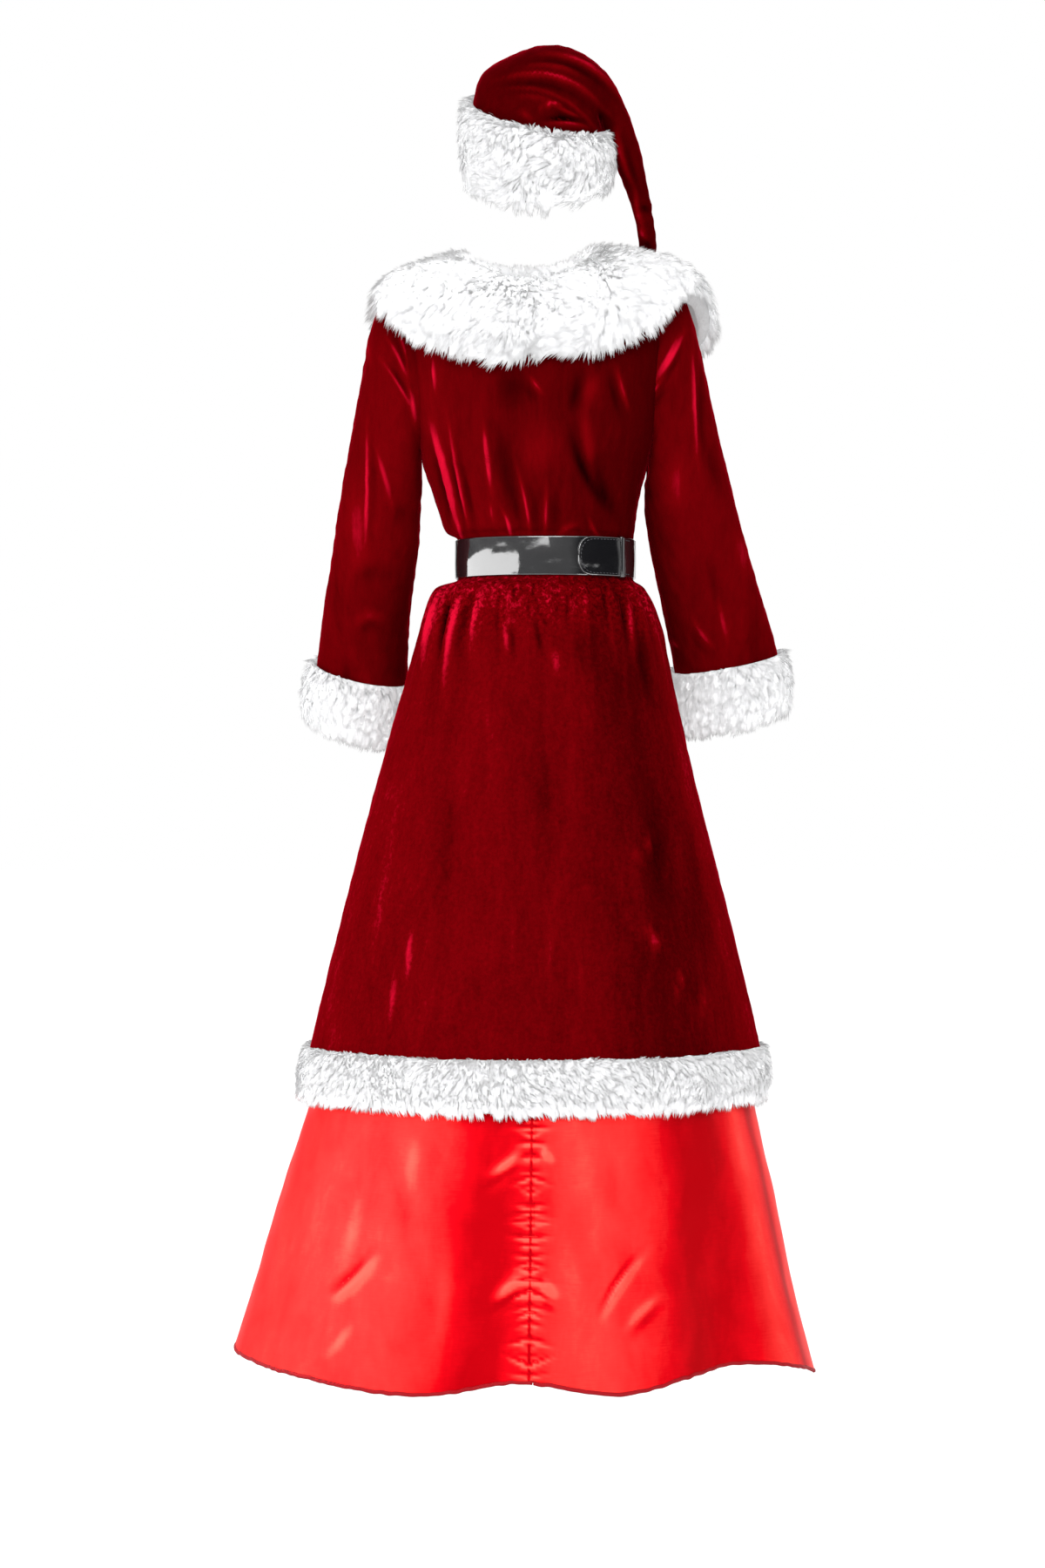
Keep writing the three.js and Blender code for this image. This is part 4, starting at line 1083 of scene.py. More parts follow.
def patent():
    """Coated leather: a smooth clear skin, with faint dust and rubbing, over a soft grain."""
    made, tree, shader = material(
        "patent", Base_Color=BLACK, Specular_IOR_Level=0.15,
        Coat_Weight=1.0, Coat_Roughness=0.03, Coat_IOR=2.1,
    )
    marks = grouped(tree, PILE_MARKS, Patches=40.0, Streaks=400.0, Stretch=1.0)
    rubbed = mapped(tree, marks["Shade"], 0.3, 0.7, POLISH, POLISH + RUBBING)
    tree.links.new(rubbed, shader.inputs["Roughness"])
    grain = bumped(tree, shader, marks["Height"], 0.07, 0.0004)
    tree.links.new(grain, shader.inputs["Coat Normal"])
    return made


def thread(name, colour):
    """Thread with painted shade in the low line between its twisted plies."""
    made, tree, shader = material(name, Roughness=0.6, Specular_IOR_Level=0.15)
    plies = grouped(tree, TWISTED_PLIES)["Height"]
    # The low line between the plies is painted darker, as shade.
    dark = tuple(part * 0.45 for part in colour[:3]) + (1,)
    tree.links.new(blend_colours(tree, plies, dark, colour), shader.inputs["Base Color"])
    bumped(tree, shader, plies, 0.6, 0.0008)
    return made


VELVET_BODICE = velvet("velvet_bodice", base=0.44, patches=14.0, streaks=120.0, stretch=0.25, spread=0.6)
VELVET_SLEEVES = velvet("velvet_sleeves", base=0.53, patches=12.0, streaks=110.0, stretch=0.3, spread=0.6)
VELVET_SKIRT = velvet("velvet_skirt", base=0.53, patches=24.0, streaks=150.0, stretch=0.18, spread=0.62,
                      crushed=(-0.475, -0.405))
VELVET_HAT = velvet("velvet_hat", base=0.345, patches=18.0, streaks=120.0, stretch=0.6, spread=0.5)
SATIN_CLOTH = satin()
FUR_STRANDS = fur_strands()
FUR_GROUND = fur_ground()
PATENT = patent()
THREAD_RED = thread("thread_red", (0.42, 0.002, 0.008, 1))
THREAD_DARK = thread("thread_dark", (0.10, 0.10, 0.11, 1))


# ---- Bodice ----
TRUNK_END = len(TRUNK) - 1
UNDER_SLEEVE = 2.5            # degrees of the bodice that turn in under each sleeve
BODICE_SIDE_LIGHT = 0.28             # painted light: how much lighter the bodice is painted at the wearer's left, and darker at the right


def bodice(node, start, first_table, last_table, creases, columns, rows):
    """One panel from a sleeve's armhole round to the other's."""
    rings = np.linspace(0, TRUNK_END, rows + 1)
    left = start + np.maximum(0, armhole_angle(rings, first_table, 1) - UNDER_SLEEVE)
    right = start + 180 - np.maximum(0, armhole_angle(rings, last_table, -1) - UNDER_SLEEVE)
    place = grid(left, right, 0.0, TRUNK_END, columns, rows)

    def lift(points, degrees):
        # The creases' painted highlight and shade, with painted light that is brighter at the wearer's left
        # and darker at the right.
        height, lit_and_shaded = creases_lift(points, creases)
        return height, lit_and_shaded + BODICE_SIDE_LIGHT * np.cos(np.radians(degrees))

    return cloth(f"{node}_velvet", trunk, place, lift, VELVET, VELVET_BODICE, rough=(0.35, 18),
                 seams=("first", "last", "bottom"))


def make_bodice():
    back = bodice("bodice_back", 0, SLEEVE_LEFT, SLEEVE_RIGHT, BODICE_BACK_CREASES, 240, 130)
    front = bodice("bodice_front", 180, SLEEVE_RIGHT, SLEEVE_LEFT, BODICE_FRONT_CREASES, 100, 80)
    return {"bodice_back": back, "bodice_front": front}


# ---- Sleeves ----
SLEEVE_TUCK = 0.12            # share of a ring by which a sleeve goes into the armhole


def sleeve(node, table, creases):
    def start(degrees):
        line = np.maximum(0, sleeve_start(degrees[0], table) - SLEEVE_TUCK)
        return np.broadcast_to(line, degrees.shape)

    place = grid(0.0, 360.0, start, len(table) - 1, 150, 150)
    return cloth(f"{node}_velvet", tube_surface(table), place, creased(creases), VELVET, VELVET_SLEEVES,
                 rough=(0.4, 20), closed=True)


def make_sleeves():
    left = sleeve("sleeve_left", SLEEVE_LEFT, SLEEVE_LEFT_CREASES)
    right = sleeve("sleeve_right", SLEEVE_RIGHT, SLEEVE_RIGHT_CREASES)
    return {"sleeve_left": left, "sleeve_right": right}


# ---- Skirt ----
SKIRT_LAP = 0.03              # degrees by which the panels' velvet meets past the side seams
GATHER_HIGHLIGHT = 0.04             # how much highlight is painted on each millimetre of a gather

# Bands of painted light (above 0) and painted shade, at and width in degrees round the body.
LitBand = namedtuple("LitBand", "at width amount")
SKIRT_LIT_BANDS = rows_of(LitBand, [
    (22, 16, 0.18), (60, 12, 0.05), (128, 17, -0.42), (162, 7, 0.2), (205, 16, -0.2), (240, 14, 0.15),
    (275, 12, -0.2), (305, 12, 0.12), (335, 14, -0.15),
])


def lit_bands_at(table, degrees):
    """How much painted light (above 0) or shade the cloth has at angles round the body."""
    total = np.zeros(np.shape(degrees))
    for shine in table:
        total += shine.amount * bell(turn_from(shine.at, degrees), shine.width)
    return total


def skirt_panel(node, start, creases, columns, rows):
    def lift(points, degrees):
        # The gathers and creases, with painted highlight and shade on them, and painted bands of light and
        # shade round the skirt.
        gathers = gathers_lift(degrees, points[..., 2], SKIRT_GATHERS, WAIST - BELT_WIDTH / 2)
        height, lit_and_shaded = creases_lift(points, creases)
        return gathers + height, lit_and_shaded + lit_bands_at(SKIRT_LIT_BANDS, degrees) + GATHER_HIGHLIGHT * gathers

    place = grid(start - SKIRT_LAP, start + 180 + SKIRT_LAP, 0.0, HEM_RING, columns, rows)
    return cloth(f"{node}_velvet", skirt, place, lift, VELVET, VELVET_SKIRT, rough=(0.45, 24),
                 seams=("first", "last"))


def make_skirt():
    back = skirt_panel("skirt_back", 0, SKIRT_BACK_CREASES, 240, 110)
    front = skirt_panel("skirt_front", 180, SKIRT_FRONT_CREASES, 140, 100)
    return {"skirt_back": back, "skirt_front": front}


# ---- Satin tier ----
TIER_SEAT = 0.8               # space between the satin and the velvet that it is sewn inside
TIER_LAP = 0.04               # degrees by which the gores meet past their seams
SEAM_DRIFT = 2.1              # degrees that the centre back seam wanders to one side down to the hem
SEAM_X = 8.0                  # where that seam starts, and how far along x it wanders
SEAM_X_DRIFT = 4.0
SEAM_DARK = 1.2               # how dark the seam's line is, and half its width
SEAM_LINE = 1.2
SATIN_CREASE_LIGHT = 2.3               # how strongly highlight and shade are painted on the satin's creases
TIER_LENGTH = 350.0           # from the top of the satin down to its hem at the back
PUCKER_HEIGHTS = np.arange(-1330.0, -1020.0, 9.5)
PUCKER_REACH = 13.0           # how far a pucker goes out from the seam
PUCKER_WIDTH = 2.4
PUCKER_HIGHLIGHT = 0.7              # how much highlight is painted on each millimetre of a pucker

# Painted sheen on the satin (above 0) and painted shade in its dark bands.
TIER_LIT_BANDS = rows_of(LitBand, [
    (30, 16, 0.25), (60, 10, 0.25), (81.5, 8.5, -1.1), (103, 10, 0.4), (135, 12.5, -1.2), (152, 4, 0.6),
    (162, 3, -1.0), (172, 6, 0.4), (205, 14, 0.4), (228, 9, -0.8), (255, 12, 0.5), (283, 9, -0.7),
    (310, 14, 0.5), (336, 8, -0.6),
])
SEWN_RING = float(index_at(SKIRT, "z", TIER_TOP))
sewn_tier = moved(skirt, -VELVET - TIER_SEAT)


def tier_surface(degrees, index):
    """The satin comes out from under the velvet and then hangs on its own folds."""
    degrees, index = np.broadcast_arrays(degrees, index)
    free = np.clip(index - 1, 0, 1)[..., None]
    sewn = sewn_tier(degrees, SEWN_RING + (HEM_RING - SEWN_RING) * index)
    return sewn * (1 - free) + tier(degrees, index) * free


def tier_hem(degrees):
    return index_at(TIER, "z", rows_round(TIER_HEM, degrees).z)


def puckers(points, seam_x, seed):
    """Short wrinkles that run out of a seam which was sewn too tight, each with a hollow above it."""
    draw = np.random.default_rng(seed)
    total = np.zeros(points.shape[:-1])
    away = points[..., 0] - seam_x
    for height in PUCKER_HEIGHTS:
        middle = height + draw.uniform(-3, 3)
        reach = PUCKER_REACH * draw.uniform(0.5, 1.4)
        slope = draw.uniform(-0.5, 0.5)
        rise = draw.uniform(0.5, 2.2)
        level = points[..., 2] - middle - slope * np.abs(away)
        total += rise * bell(away, reach) * (bell(level, PUCKER_WIDTH) - 0.6 * bell(level - 4.2, 2.0))
    return total


def gore(node, start, end, creases, columns, rows, close_to):
    """One gore of the tier. The seam at 90 degrees drifts to one side on its way down."""
    drift = SEAM_DRIFT * np.linspace(0, 1, rows + 1)
    left = start - TIER_LAP + (drift if start == 90 else 0)
    right = end + TIER_LAP + (drift if end == 90 else 0)

    def lift(points, degrees):
        height, lit_and_shaded = creases_lift(points, creases)
        if start < 180:
            seam_x = SEAM_X + SEAM_X_DRIFT * (TIER_TOP - points[..., 2]) / TIER_LENGTH
            wrinkles = puckers(points, seam_x, 5)
            height = height + wrinkles
            # Painted highlight on the puckers and a darker line along the seam, then the creases' painted
            # highlight and shade and the painted bands.
            lit_and_shaded = lit_and_shaded + PUCKER_HIGHLIGHT * wrinkles - SEAM_DARK * bell(points[..., 0] - seam_x, SEAM_LINE)
        return height, SATIN_CREASE_LIGHT * lit_and_shaded + lit_bands_at(TIER_LIT_BANDS, degrees)

    place = grid(left, right, 0.0, tier_hem, columns, rows, close_to)
    return cloth(f"{node}_satin", tier_surface, place, lift, SATIN, SATIN_CLOTH, rough=(0.4, 60),
                 seams=("first", "last"))


def make_tier():
    return {
        node: gore(node, *rest) for node, *rest in (
            ("tier_back_left", 0, 90, SATIN_BACK_CREASES, 150, 160, 1),
            ("tier_back_right", 90, 180, SATIN_BACK_CREASES, 150, 160, 0),
            ("tier_front", 180, 360, SATIN_FRONT_CREASES, 140, 80, None),
        )
    }


def make_hem_edges():
    """The overlocked lower edge of each gore of satin."""
    seam = 90 + SEAM_DRIFT
    half_width, half_depth, end_gap = 2.5, 1.8, 0.1
    made = {}
    for node, start, end in (
        ("tier_back_left", 0, seam),
        ("tier_back_right", seam, 180),
        ("tier_front", 180, 360),
    ):
        degrees = np.linspace(start + end_gap, end - end_gap, int((end - start) * 2.2))
        index = tier_hem(degrees)
        normals, _, down = frame_on(tier_surface, degrees, index)
        middles = tier_surface(degrees, index) - normals * SATIN / 2
        middles = middles + down * ripple(middles, 14, 41)[:, None] * 0.5
        rope = [(middles, down, normals)]
        made[node] = ropes(f"{node}_overlock", rope, half_width, half_depth, 8, 1.0, THREAD_RED)
    return made


# ---- Belt ----
TONGUE_ROUND = 0.026          # share of the strap in which its free end is rounded
TONGUE_POWER = 2.6            # how square that round end is
BELT_TURN = 360 + TONGUE_OVERLAP
BELT_EDGE = 1.3               # how far in from each edge the strap is rounded
KEEPER_THICKNESS = 1.2
KEEPER_CORNER = 1.1           # radius of the keeper's bends
GAP = 0.3                     # between the keeper and the strap


def waist_points(degrees, push, height):
    """Points round the waist, as far out from the velvet as push."""
    return oval(TRUNK[-1], *np.broadcast_arrays(degrees, push, height))


def strap_half(turn):
    """Half the strap's width, which narrows round its free end."""
    near = np.clip(1 - turn / BELT_TURN / TONGUE_ROUND, 0, 1)
    return BELT_WIDTH / 2 * np.maximum(0.03, 1 - near ** TONGUE_POWER) ** (1 / TONGUE_POWER)


def strap_lift(turn):
    """How far the upper layer stands off the velvet, over the lower one and where it comes down."""
    return BELT_LAP * np.clip((TONGUE_OVERLAP + TONGUE_SETTLE - turn) / TONGUE_SETTLE, 0, 1)


def make_belt():
    """The strap, with fine rows near its free end and columns close together at its two edges."""
    fine = 22
    turn = np.concatenate([np.linspace(0, fine, 40)[:-1], np.linspace(fine, BELT_TURN, 282)])[None, :]
    wide = BELT_WIDTH / BELT_EDGE
    steps = np.array([0, 0.25, 0.6, 1.0])
    share = np.concatenate([steps, np.linspace(1.4, wide - 1.4, 17), wide - steps[::-1]])[:, None] / wide
    half = strap_half(turn)
    from_edge = np.minimum(share, 1 - share) * 2 * half
    round_edge = np.sqrt(np.maximum(0.02, 1 - (1 - np.clip(from_edge / BELT_EDGE, 0, 1)) ** 2))
    height = BELT_MIDDLE + half * (1 - 2 * share)
    middle = BELT_SEAT + strap_lift(turn) + BELT_THICKNESS / 2
    flat = waist_points(TONGUE_END + turn, middle, height)
    waves = 0.13 * ripple(flat, 34, 8) + 0.04 * ripple(flat, 11, 9)
    bulge = -0.24 * np.cos(2 * math.pi * share)
    thick = BELT_THICKNESS / 2 * round_edge
    outer = waist_points(TONGUE_END + turn, middle + thick + (waves + bulge) * round_edge, height)
    inner = waist_points(TONGUE_END + turn, middle - thick, height)[::2, ::2]
    return wall_object("belt_strap", outer, inner, False, PATENT)


def make_belt_stitches():
    """A row of stitches that follows the strap's free end, a few millimetres in."""
    inset, length, gap, proud = 3.2, 3.0, 1.6, 0.25
    turn = np.linspace(0.2, TONGUE_OVERLAP - 4, 1400)
    upper = np.stack([turn, strap_half(turn) - inset], -1)
    upper = upper[upper[:, 1] > 0]
    upper[:, 0] += inset / 2
    path = np.concatenate([upper[::-1], upper * (1, -1)])
    face = BELT_SEAT + BELT_LAP + BELT_THICKNESS + proud
    points = waist_points(TONGUE_END + path[:, 0], face, BELT_MIDDLE + path[:, 1])
    along = np.concatenate([[0], np.cumsum(np.linalg.norm(np.diff(points, axis=0), axis=-1))])
    stitches = []
    for start in np.arange(0, along[-1] - length, length + gap):
        places = start + length * np.array([0, 0.33, 0.67, 1])
        middles = np.stack([np.interp(places, along, points[:, axis]) for axis in range(3)], -1)
        way = unit(middles[-1] - middles[0])
        out = unit(np.array([middles[0][0] - TRUNK[-1].x, middles[0][1], 0.0]))
        stitches.append((middles, unit(np.cross(way, out)), out))
    return ropes("belt_stitches", stitches, 0.45, 0.3, 6, 0.45, THREAD_DARK)


def make_keeper():
    """A narrow loop over both layers of the strap, with soft corners, turned over their edges."""
    face = BELT_SEAT + BELT_LAP + BELT_THICKNESS + GAP
    back = BELT_SEAT + 2 * GAP
    half = BELT_WIDTH / 2 + GAP
    bend = np.radians(np.linspace(0, 90, 6))
    corner = [face - KEEPER_CORNER, half] + KEEPER_CORNER * np.stack([np.sin(bend), np.cos(bend) - 1], -1)
    upper = np.concatenate([[[back, half]], corner])
    path = np.concatenate([upper, upper[::-1] * (1, -1)])
    way = unit(np.gradient(path, axis=0))
    away = np.stack([-way[:, 1], way[:, 0]], -1)
    if away[0, 1] < 0:
        away = -away
    thick = KEEPER_THICKNESS * np.array([0.15, 0.75, *[1.0] * 7, 0.75, 0.15])
    turns = (KEEPER_ANGLE + KEEPER_TURN * np.linspace(-0.5, 0.5, len(thick)))[:, None]
    edge = path + away * thick[:, None, None]
    outer = waist_points(turns, edge[..., 0], BELT_MIDDLE + edge[..., 1])
    inner = waist_points(turns, path[:, 0], BELT_MIDDLE + path[:, 1])
    # The last column stands twice, because a wall has an even number of cells.
    outer, inner = (np.concatenate([line, line[:, -1:]], 1) for line in (outer, inner))
    return wall_object("belt_keeper_loop", outer, inner[::2, ::2], False, PATENT)


# ---- Hat ----
def make_hat():
    place = grid(0.0, 360.0, 0.0, len(HAT) - 1, 90, 150)
    crown = cloth("hat_crown_velvet", hat, place, creased(HAT_CREASES), VELVET, VELVET_HAT,
                  rough=(0.4, 15), closed=True)
    return {"hat_crown": crown}


# ---- Fur ----
# seat(degrees, v) is where the trim lies, from its upper edge (v = 0) to its lower one, and reach is the
# pile's. The strands are as long as length, stand out by up to rise from the short pile, and lean along
# comb (round, down). swirl is how far the comb wanders, in degrees, and locks are about lock wide.
# The last strands are rooted at the share root_end of the trim and are longer by the share hang, to hang
# over the rest of it. join is the angle of a join in the trim, where the strands are short.
Trim = namedtuple(
    "Trim", "node seat reach start end closed length rise comb swirl lock strands seed root_end hang join",
    defaults=(0.3, None),
)
Own = namedtuple("Own", "turn lean length")
FUR_SEAT = 0.8                # space between a trim and the velvet under it
COLLAR_LAP = 0.4              # degrees by which the collar's halves meet past their seams
GROUND_INSIDE = 0.12          # share of the pile's reach at which the short pile's inner side is
SHORTEST_PILE = 0.4           # share of the pile's reach that the short pile has at least
STRAND_WIDTH = 1.9
ROOT_DEPTH = 1.2              # how deep in the short pile a strand starts
UNCOMBED_LEAN = 18            # how far strands lean, and how much more where they are combed, in degrees
COMBED_LEAN = 52
STRANDS_TO_LOCK = 24
JOIN_SHORT = 0.6              # how much shorter the strands are at a join, and how far round from it
JOIN_WIDTH = 0.9
COLOURINGS = 16               # different strands in the pile's texture map


def pile(v):
    """The share of its full reach that a trim's pile has at v, least at the trim's edges."""
    return EDGE_REACH + (1 - EDGE_REACH) * np.sqrt(np.clip(1 - (2 * v - 1) ** 2, 0, None))


def off_seat(trim, amount):
    """The surface as far off the trim's seat as amount gives for the pile's full reach there."""
    def surface(degrees, v):
        degrees, v = np.broadcast_arrays(degrees, v)
        out = frame_on(trim.seat, degrees, v)[0]
        return trim.seat(degrees, v) + out * amount(trim.reach(degrees, v) * pile(v))[..., None]
    return surface


def short_pile(trim):
    return off_seat(trim, lambda full: np.maximum(SHORTEST_PILE * full, full - trim.rise))


def make_ground(trim, columns, rows):
    degrees, v = grid(trim.start, trim.end, 0.0, 1.0, columns, rows)
    v = (1 - np.cos(np.pi * v)) / 2 * (1 + trim.root_end) / 2
    if trim.closed:
        degrees, v = degrees[:, :-1], v[:, :-1]
    surface = short_pile(trim)
    outer = surface(degrees, v)
    uneven = 0.9 * ripple(outer, 13, trim.seed)
    outer = outer + frame_on(surface, degrees, v)[0] * uneven[..., None]
    inner = off_seat(trim, lambda full: GROUND_INSIDE * full)(degrees, v)[::2, ::2]
    return wall_object(f"{trim.node}_ground", outer, inner, trim.closed, FUR_GROUND)


def scattered(trim, count, turn, longest, draw):
    """Places for this many strands, more of them near the trim's edges, and how each strand differs."""
    x = draw.uniform(0, 1, count)
    near_edges = draw.uniform(0, 1, count) < 0.45
    v = np.where(near_edges, (1 - np.cos(np.pi * x)) / 2, x)
    degrees = draw.uniform(trim.start, trim.end, count)
    own = Own(draw.normal(0, turn, count), draw.normal(0, 9, count), draw.uniform(0.7, longest, count))
    return degrees, np.clip(v, 0.002, 0.998) * trim.root_end, own


def strand_paths(trim, surface, degrees, v, own):
    """Each strand's root, bend and tip, its way out of the pile, and the way that it faces for its shading.

    That last one is the seat's way out, turned level and towards the wearer's back or front.
    """
    out, round_it, down = frame_on(off_seat(trim, lambda full: full), degrees, v)
    seat_out, _, seat_down = frame_on(trim.seat, degrees, v)
    roots = surface(degrees, v) - seat_out * ROOT_DEPTH
    comb_round, comb_down = trim.comb(degrees, v)
    swirl = np.radians(trim.swirl * ripple(roots, 75, trim.seed + 1) + own.turn)
    combed = np.arctan2(comb_round, comb_down) + swirl
    along = down * np.cos(combed)[:, None] + round_it * np.sin(combed)[:, None]
    strength = np.clip(np.hypot(comb_round, comb_down), 0, 1)
    lean = np.radians(UNCOMBED_LEAN + COMBED_LEAN * strength + own.lean)[:, None]
    length = trim.length * own.length * (1 + trim.hang * smooth(0.75, 1, v / trim.root_end))
    if trim.join is not None:
        length = length * (1 - JOIN_SHORT * bell(turn_from(trim.join, degrees), JOIN_WIDTH))
    length = length[:, None]
    bends = roots + length * 0.5 * unit(out * (np.cos(lean) + 0.45) + along * np.sin(lean))
    tips = roots + length * (out * np.cos(lean) * 0.85 + along * np.sin(lean))
    rear = np.clip(3 * seat_out[:, 1:2], -1, 1)
    outward = unit((seat_out + seat_down) * (1, 1, 0) + (0, 1, 0) * rear + 0.01 * seat_out)
    return roots, bends, tips, out, outward


def nearest_locks(lock_roots, roots):
    """The number of the lock that starts nearest to each root, and how far off it is."""
    tree = kdtree.KDTree(len(lock_roots))
    for number, point in enumerate(lock_roots):
        tree.insert(point, number)
    tree.balance()
    found = np.array([tree.find(point)[1:] for point in roots])
    return found[:, 0].astype(int), found[:, 1]


def blade_points(middles, out, front, draw):
    """Five points for each strand: two at its root, two at its bend and its tip. front is its lit side."""
    count = len(out)
    widths = np.array([0.85, 0.9, 0.0]) * STRAND_WIDTH / 2
    sway = draw.normal(0, 0.3, count)[:, None]
    points = []
    for number, middle in enumerate(middles):
        before, after = middles[max(0, number - 1)], middles[min(2, number + 1)]
        side = unit(np.cross(after - before, out))
        side = front * unit(side * np.cos(sway) + out * np.sin(sway))
        wide = widths[number] * draw.uniform(0.8, 1.2, count)[:, None]
        points += [middle - side * wide, middle + side * wide] if number < 2 else [middle]
    return np.stack(points, 1).reshape(-1, 3)


def make_strands(trim):
    draw = np.random.default_rng(trim.seed)
    surface = short_pile(trim)
    count = trim.strands
    lock_places = scattered(trim, max(8, int(count / STRANDS_TO_LOCK)), 20, 1.3, draw)
    lock_roots, lock_bends, lock_tips, _, _ = strand_paths(trim, surface, *lock_places)
    roots, bends, tips, out, outward = strand_paths(trim, surface, *scattered(trim, count, 14, 1.1, draw))
    lock, distance = nearest_locks(lock_roots, roots)
    hold = (draw.uniform(0.25, 0.75, count) * bell(distance, 1.6 * trim.lock))[:, None]
    tips = tips + (lock_tips[lock] - tips) * hold
    bends = bends + (lock_bends[lock] - bends) * hold * 0.45
    faces = unit(np.cross(tips - roots, np.cross(out, tips - roots)))
    front = np.where(np.sum(faces * outward, 1) < 0, -1, 1)[:, None]
    steps = np.array([0, 0.55, 1.0])
    middles = [roots * (1 - step) ** 2 + bends * 2 * step * (1 - step) + tips * step ** 2 for step in steps]
    points = blade_points(middles, out, front, draw)
    first = 5 * np.arange(count)[:, None]
    kind = draw.integers(0, COLOURINGS, count)[:, None]
    across = np.array([0.15, 0.85, 0.15, 0.85, 0.5])
    along = np.repeat(steps, 2)[:5] * 0.96 + 0.02
    bake_map = np.stack([(kind + across) / COLOURINGS, np.broadcast_to(along, (count, 5))], -1)
    polygons = [first + [0, 1, 3, 2], first + [2, 3, 4]]
    piece = mesh_object(f"{trim.node}_strands", points, polygons, FUR_STRANDS, bake_map.reshape(-1, 2))
    # A strand is shaded mostly as the whole trim, and partly as the pile there and by its own face.
    shading = unit(0.3 * out + 0.3 * front * faces + 0.5 * outward)
    piece.data.normals_split_custom_set_from_vertices(np.repeat(shading, 5, axis=0))
    return piece


def collar_trim(node, start, strands, seed):
    def seat(degrees, v):
        degrees, v = np.broadcast_arrays(degrees, v)
        return yoke(degrees, v * index_at(YOKE, "z", rows_round(COLLAR, degrees).low))

    def reach(degrees, v):
        row = rows_round(COLLAR, degrees)
        return row.neck + (row.edge - row.neck) * v

    def comb(degrees, v):
        return 0.28 * np.sin(np.radians(degrees * 2 + 40)), 0.66 + 0.28 * v

    return Trim(node, seat, reach, start=start - COLLAR_LAP, end=start + 180 + COLLAR_LAP, closed=False,
                length=19.0, rise=4.5, comb=comb, swirl=34, lock=6.0,
                strands=strands, seed=seed, root_end=0.94, hang=0.5)


def cuff_trim(node, table, seed):
    on_sleeve = moved(tube_surface(table), FUR_SEAT)

    def seat(degrees, v):
        return on_sleeve(degrees, len(table) - 2 + v)

    return Trim(node, seat, lambda degrees, v: CUFF_FUR,
                start=0.0, end=360.0, closed=True, length=18.0, rise=4.5,
                comb=lambda degrees, v: (0.25, 0.72 + 0.22 * v), swirl=26, lock=6.0,
                strands=13000, seed=seed, root_end=0.9)


def hem_trim():
    on_velvet = moved(skirt, FUR_SEAT)

    def seat(degrees, v):
        height = HEM_FUR_TOP + (HEM_FUR_BOTTOM - HEM_FUR_TOP) * np.asarray(v)
        return on_velvet(degrees, index_at(SKIRT, "z", height))

    return Trim("hem_trim", seat, lambda degrees, v: HEM_FUR,
                start=HEM_JOIN + SEAM_ANGLE, end=HEM_JOIN + 360 - SEAM_ANGLE, closed=False,
                length=12.5, rise=3.5, comb=lambda degrees, v: (0.2, 0.62 + 0.28 * v), swirl=30, lock=5.0,
                strands=29000, seed=61, root_end=0.86, join=HEM_JOIN)


def band_trim():
    on_crown = moved(hat, FUR_SEAT)

    def seat(degrees, v):
        return on_crown(degrees, BAND_RING * (1 - v))

    return Trim("hat_band", seat, lambda degrees, v: BAND_FUR,
                start=0.0, end=360.0, closed=True, length=18.0, rise=5.0,
                comb=lambda degrees, v: (-0.45, 0.6 + 0.28 * v), swirl=40, lock=6.0,
                strands=17000, seed=71, root_end=0.95, join=87.0)


def ball_trim():
    def seat(degrees, v):
        degrees, v = np.broadcast_arrays(degrees, v)
        turn, tilt = np.radians(degrees), np.radians(4 + 172 * v)
        way = np.stack([np.sin(tilt) * np.cos(turn), np.sin(tilt) * np.sin(turn), np.cos(tilt)], -1)
        return np.array(BALL_AT) + way * (BALL_RADIUS - BALL_FUR)

    return Trim("hat_ball", seat, lambda degrees, v: BALL_FUR / pile(v),
                start=0.0, end=360.0, closed=True, length=13.0, rise=8.0, comb=lambda degrees, v: (0.1, 0.2),
                swirl=60, lock=5.0, strands=3600, seed=81, root_end=1.0, hang=0.0)


def make_fur():
    """The short pile and the strands of each trim, with the columns and rows of its short pile."""
    made = {}
    for trim, columns, rows in (
        (collar_trim("collar_left", -90, 30000, 11), 120, 20),
        (collar_trim("collar_right", 90, 33000, 21), 120, 20),
        (cuff_trim("cuff_left", SLEEVE_LEFT, 31), 84, 16),
        (cuff_trim("cuff_right", SLEEVE_RIGHT, 41), 84, 16),
        (hem_trim(), 300, 12),
        (band_trim(), 110, 18),
        (ball_trim(), 36, 18),
    ):
        made[trim.node] = (make_ground(trim, columns, rows), make_strands(trim))
    return made


# ---- Floor, light and camera ----
FLOOR = -1.541                # height of the floor, in metres, as all places here are
CAMERA_AT = (0.019, 4.0, -0.638)
LENS = 75.26                  # focal length and sensor width, in millimetres
SENSOR = 36


def make_floor():
    """A wide pale floor that is as bright as the room."""
    bpy.ops.mesh.primitive_plane_add(size=60, location=(0, 0, FLOOR))
    floor = bpy.context.object
    floor.name = "floor"
    made, _, _ = material("floor_pale", Roughness=0.9, Base_Color=(0.2, 0.2, 0.2, 1),
                          Emission_Color=WHITE, Emission_Strength=0.86)
    floor.data.materials.append(made)


# How bright the room is in each direction round the costume, in degrees from the wearer's left.
Wall = namedtuple("Wall", "at bright")
WALLS = rows_of(Wall, [
    (-180, 0.5), (-150, 1.0), (-110, 1.0), (-74, 0.9), (-64, 0.02), (-38, 0.02), (10, 0.35), (60, 0.3),
    (112, 0.3), (124, 0.0), (176, 0.0), (180, 0.5),
])

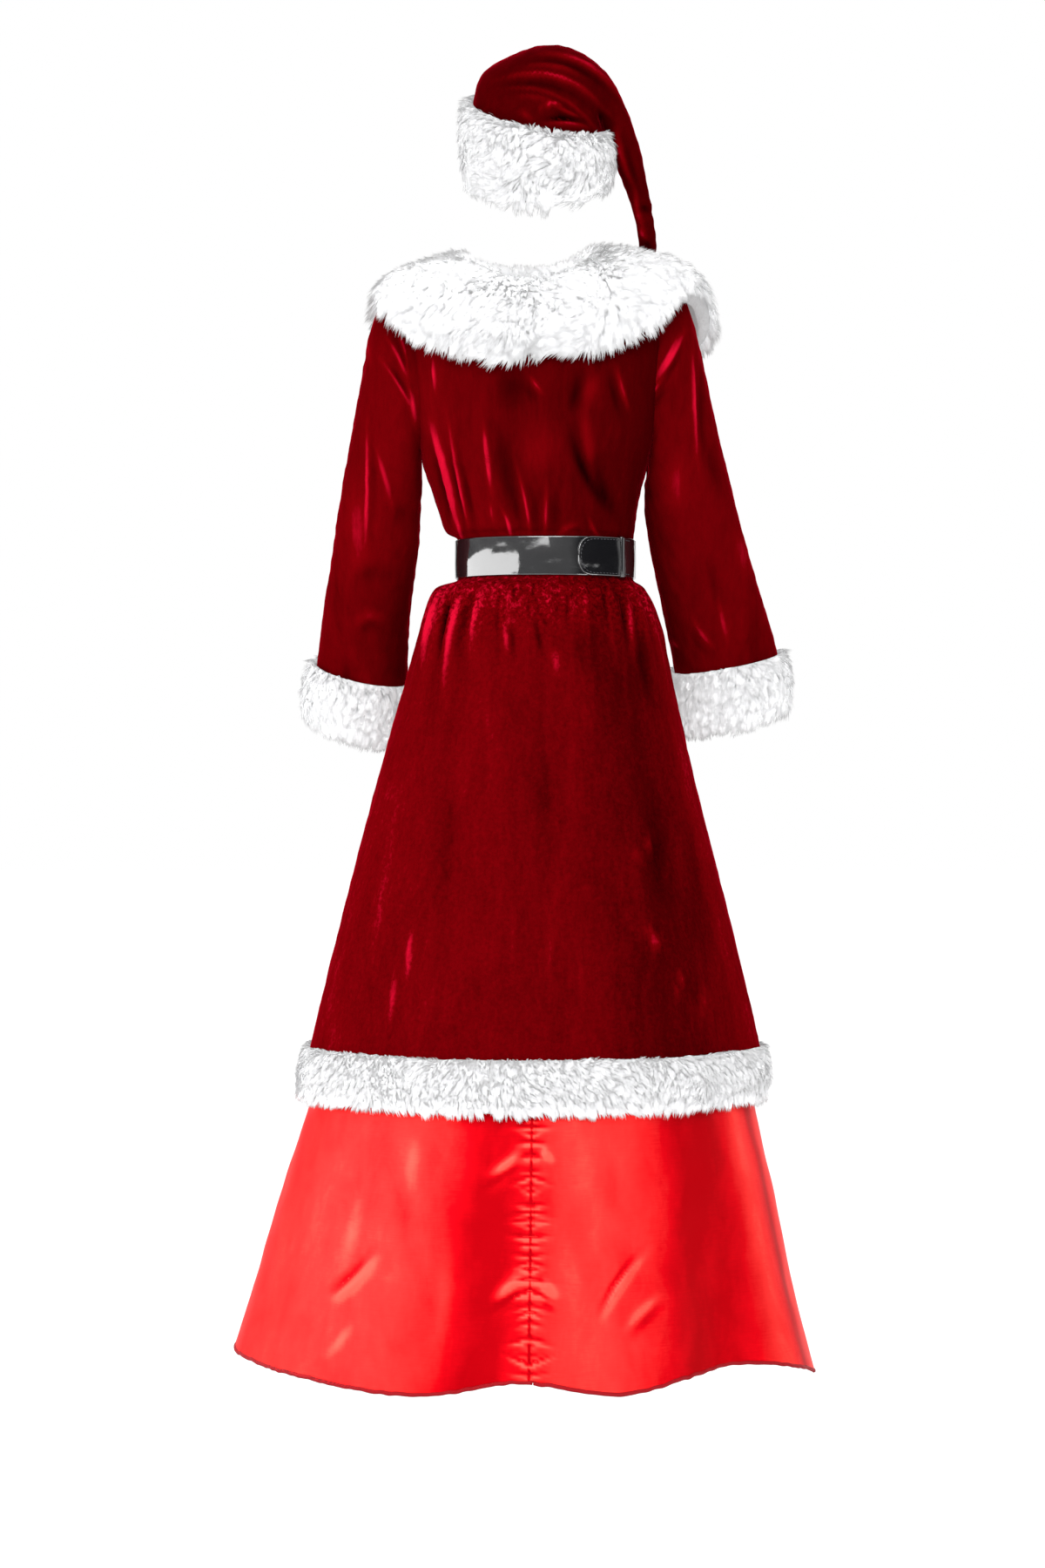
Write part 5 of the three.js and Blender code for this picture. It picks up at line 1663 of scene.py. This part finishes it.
# Each lamp is a soft box that aims at the costume's middle line, at the height aim. Places and sizes are
# in metres, and power in watts. The rims light the outline from the far side.
Lamp = namedtuple("Lamp", "name place aim size power")
LAMPS = rows_of(Lamp, [
    ("side_box", (2.2, 0.9, -0.60), -0.55, (4.4, 0.9), 56),
    ("key", (0.8, 4.1, 0.95), -0.6, (2.2, 1.3), 30),
    ("fill", (-1.2, 3.3, 1.7), -0.7, (1.6, 1.2), 25),
    ("low_right", (-2.0, 2.2, -1.15), -1.1, (1.2, 0.6), 15),
    ("middle_box", (0.0, 3.3, 1.15), -0.6, (1.8, 1.4), 41),
    ("rim_left", (1.7, -1.8, 0.4), -0.6, (0.8, 2.2), 18),
    ("rim_right", (-1.7, -1.8, 0.4), -0.6, (0.8, 2.2), 18),
])
CEILING = (1.05, 1.05, 1.05, 1)


def area_light(lamp):
    data = bpy.data.lights.new(lamp.name, "AREA")
    data.shape = "RECTANGLE"
    data.size, data.size_y = lamp.size
    data.energy = lamp.power
    made = bpy.data.objects.new(lamp.name, data)
    made.location = lamp.place
    made.rotation_euler = (Vector((0, 0, lamp.aim)) - Vector(lamp.place)).to_track_quat("-Z", "Y").to_euler()
    bpy.context.scene.collection.objects.link(made)


def make_light():
    """A white room whose walls are brighter on some sides and look white to the camera, and the lamps."""
    world = bpy.data.worlds.new("studio")
    world.use_nodes = True
    tree = world.node_tree
    place = put(tree, "ShaderNodeTexCoord", {}).outputs["Generated"]
    way = put(tree, "ShaderNodeSeparateXYZ", {0: place}).outputs
    turn = sums(tree, "ARCTAN2", way["Y"], way["X"])
    share = sums(tree, "MULTIPLY_ADD", turn, 0.5 / math.pi, 0.5)
    walls = colour_ramp(tree, share, [(wall.at / 360 + 0.5, (*[wall.bright] * 3, 1)) for wall in WALLS])
    room = blend_colours(tree, mapped(tree, way["Z"], 0.2, 0.5, 0, 1), walls, CEILING)
    seen = put(tree, "ShaderNodeLightPath", {}).outputs["Is Camera Ray"]
    tree.links.new(blend_colours(tree, seen, room, WHITE), tree.nodes["Background"].inputs["Color"])
    bpy.context.scene.world = world
    for lamp in LAMPS:
        area_light(lamp)


def make_camera():
    """The camera stands behind the wearer and looks level at their back."""
    data = bpy.data.cameras.new("camera")
    data.sensor_width = SENSOR
    data.lens = LENS
    camera = bpy.data.objects.new("camera", data)
    camera.location = CAMERA_AT
    camera.rotation_euler = (math.radians(90), 0, math.radians(180))
    bpy.context.scene.collection.objects.link(camera)
    bpy.context.scene.camera = camera
    bpy.context.scene.view_settings.view_transform = "Standard"


# ---- Cuts ----
# What shows of each cut, in metres and square metres, and how it is held there.
Cut = namedtuple("Cut", "width length area held rests_on")


# ---- The whole costume ----
def declare(piece, node):
    """Puts a piece in the one body. It stands for a node of the frame, unless it only adds to one."""
    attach(piece, "root")
    if node:
        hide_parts(node)


make_camera()
make_light()
make_floor()
velvet_pieces = {**make_bodice(), **make_sleeves(), **make_skirt(), **make_hat()}
for node, piece in velvet_pieces.items():
    declare(piece, node)
satin_pieces = make_tier()
edges = make_hem_edges()
for node, piece in satin_pieces.items():
    declare(piece, node)
    declare(edges[node], None)
for node, (ground, strands) in make_fur().items():
    declare(ground, node)
    declare(strands, None)
declare(make_belt(), "belt")
declare(make_belt_stitches(), None)
declare(make_keeper(), "belt_keeper")
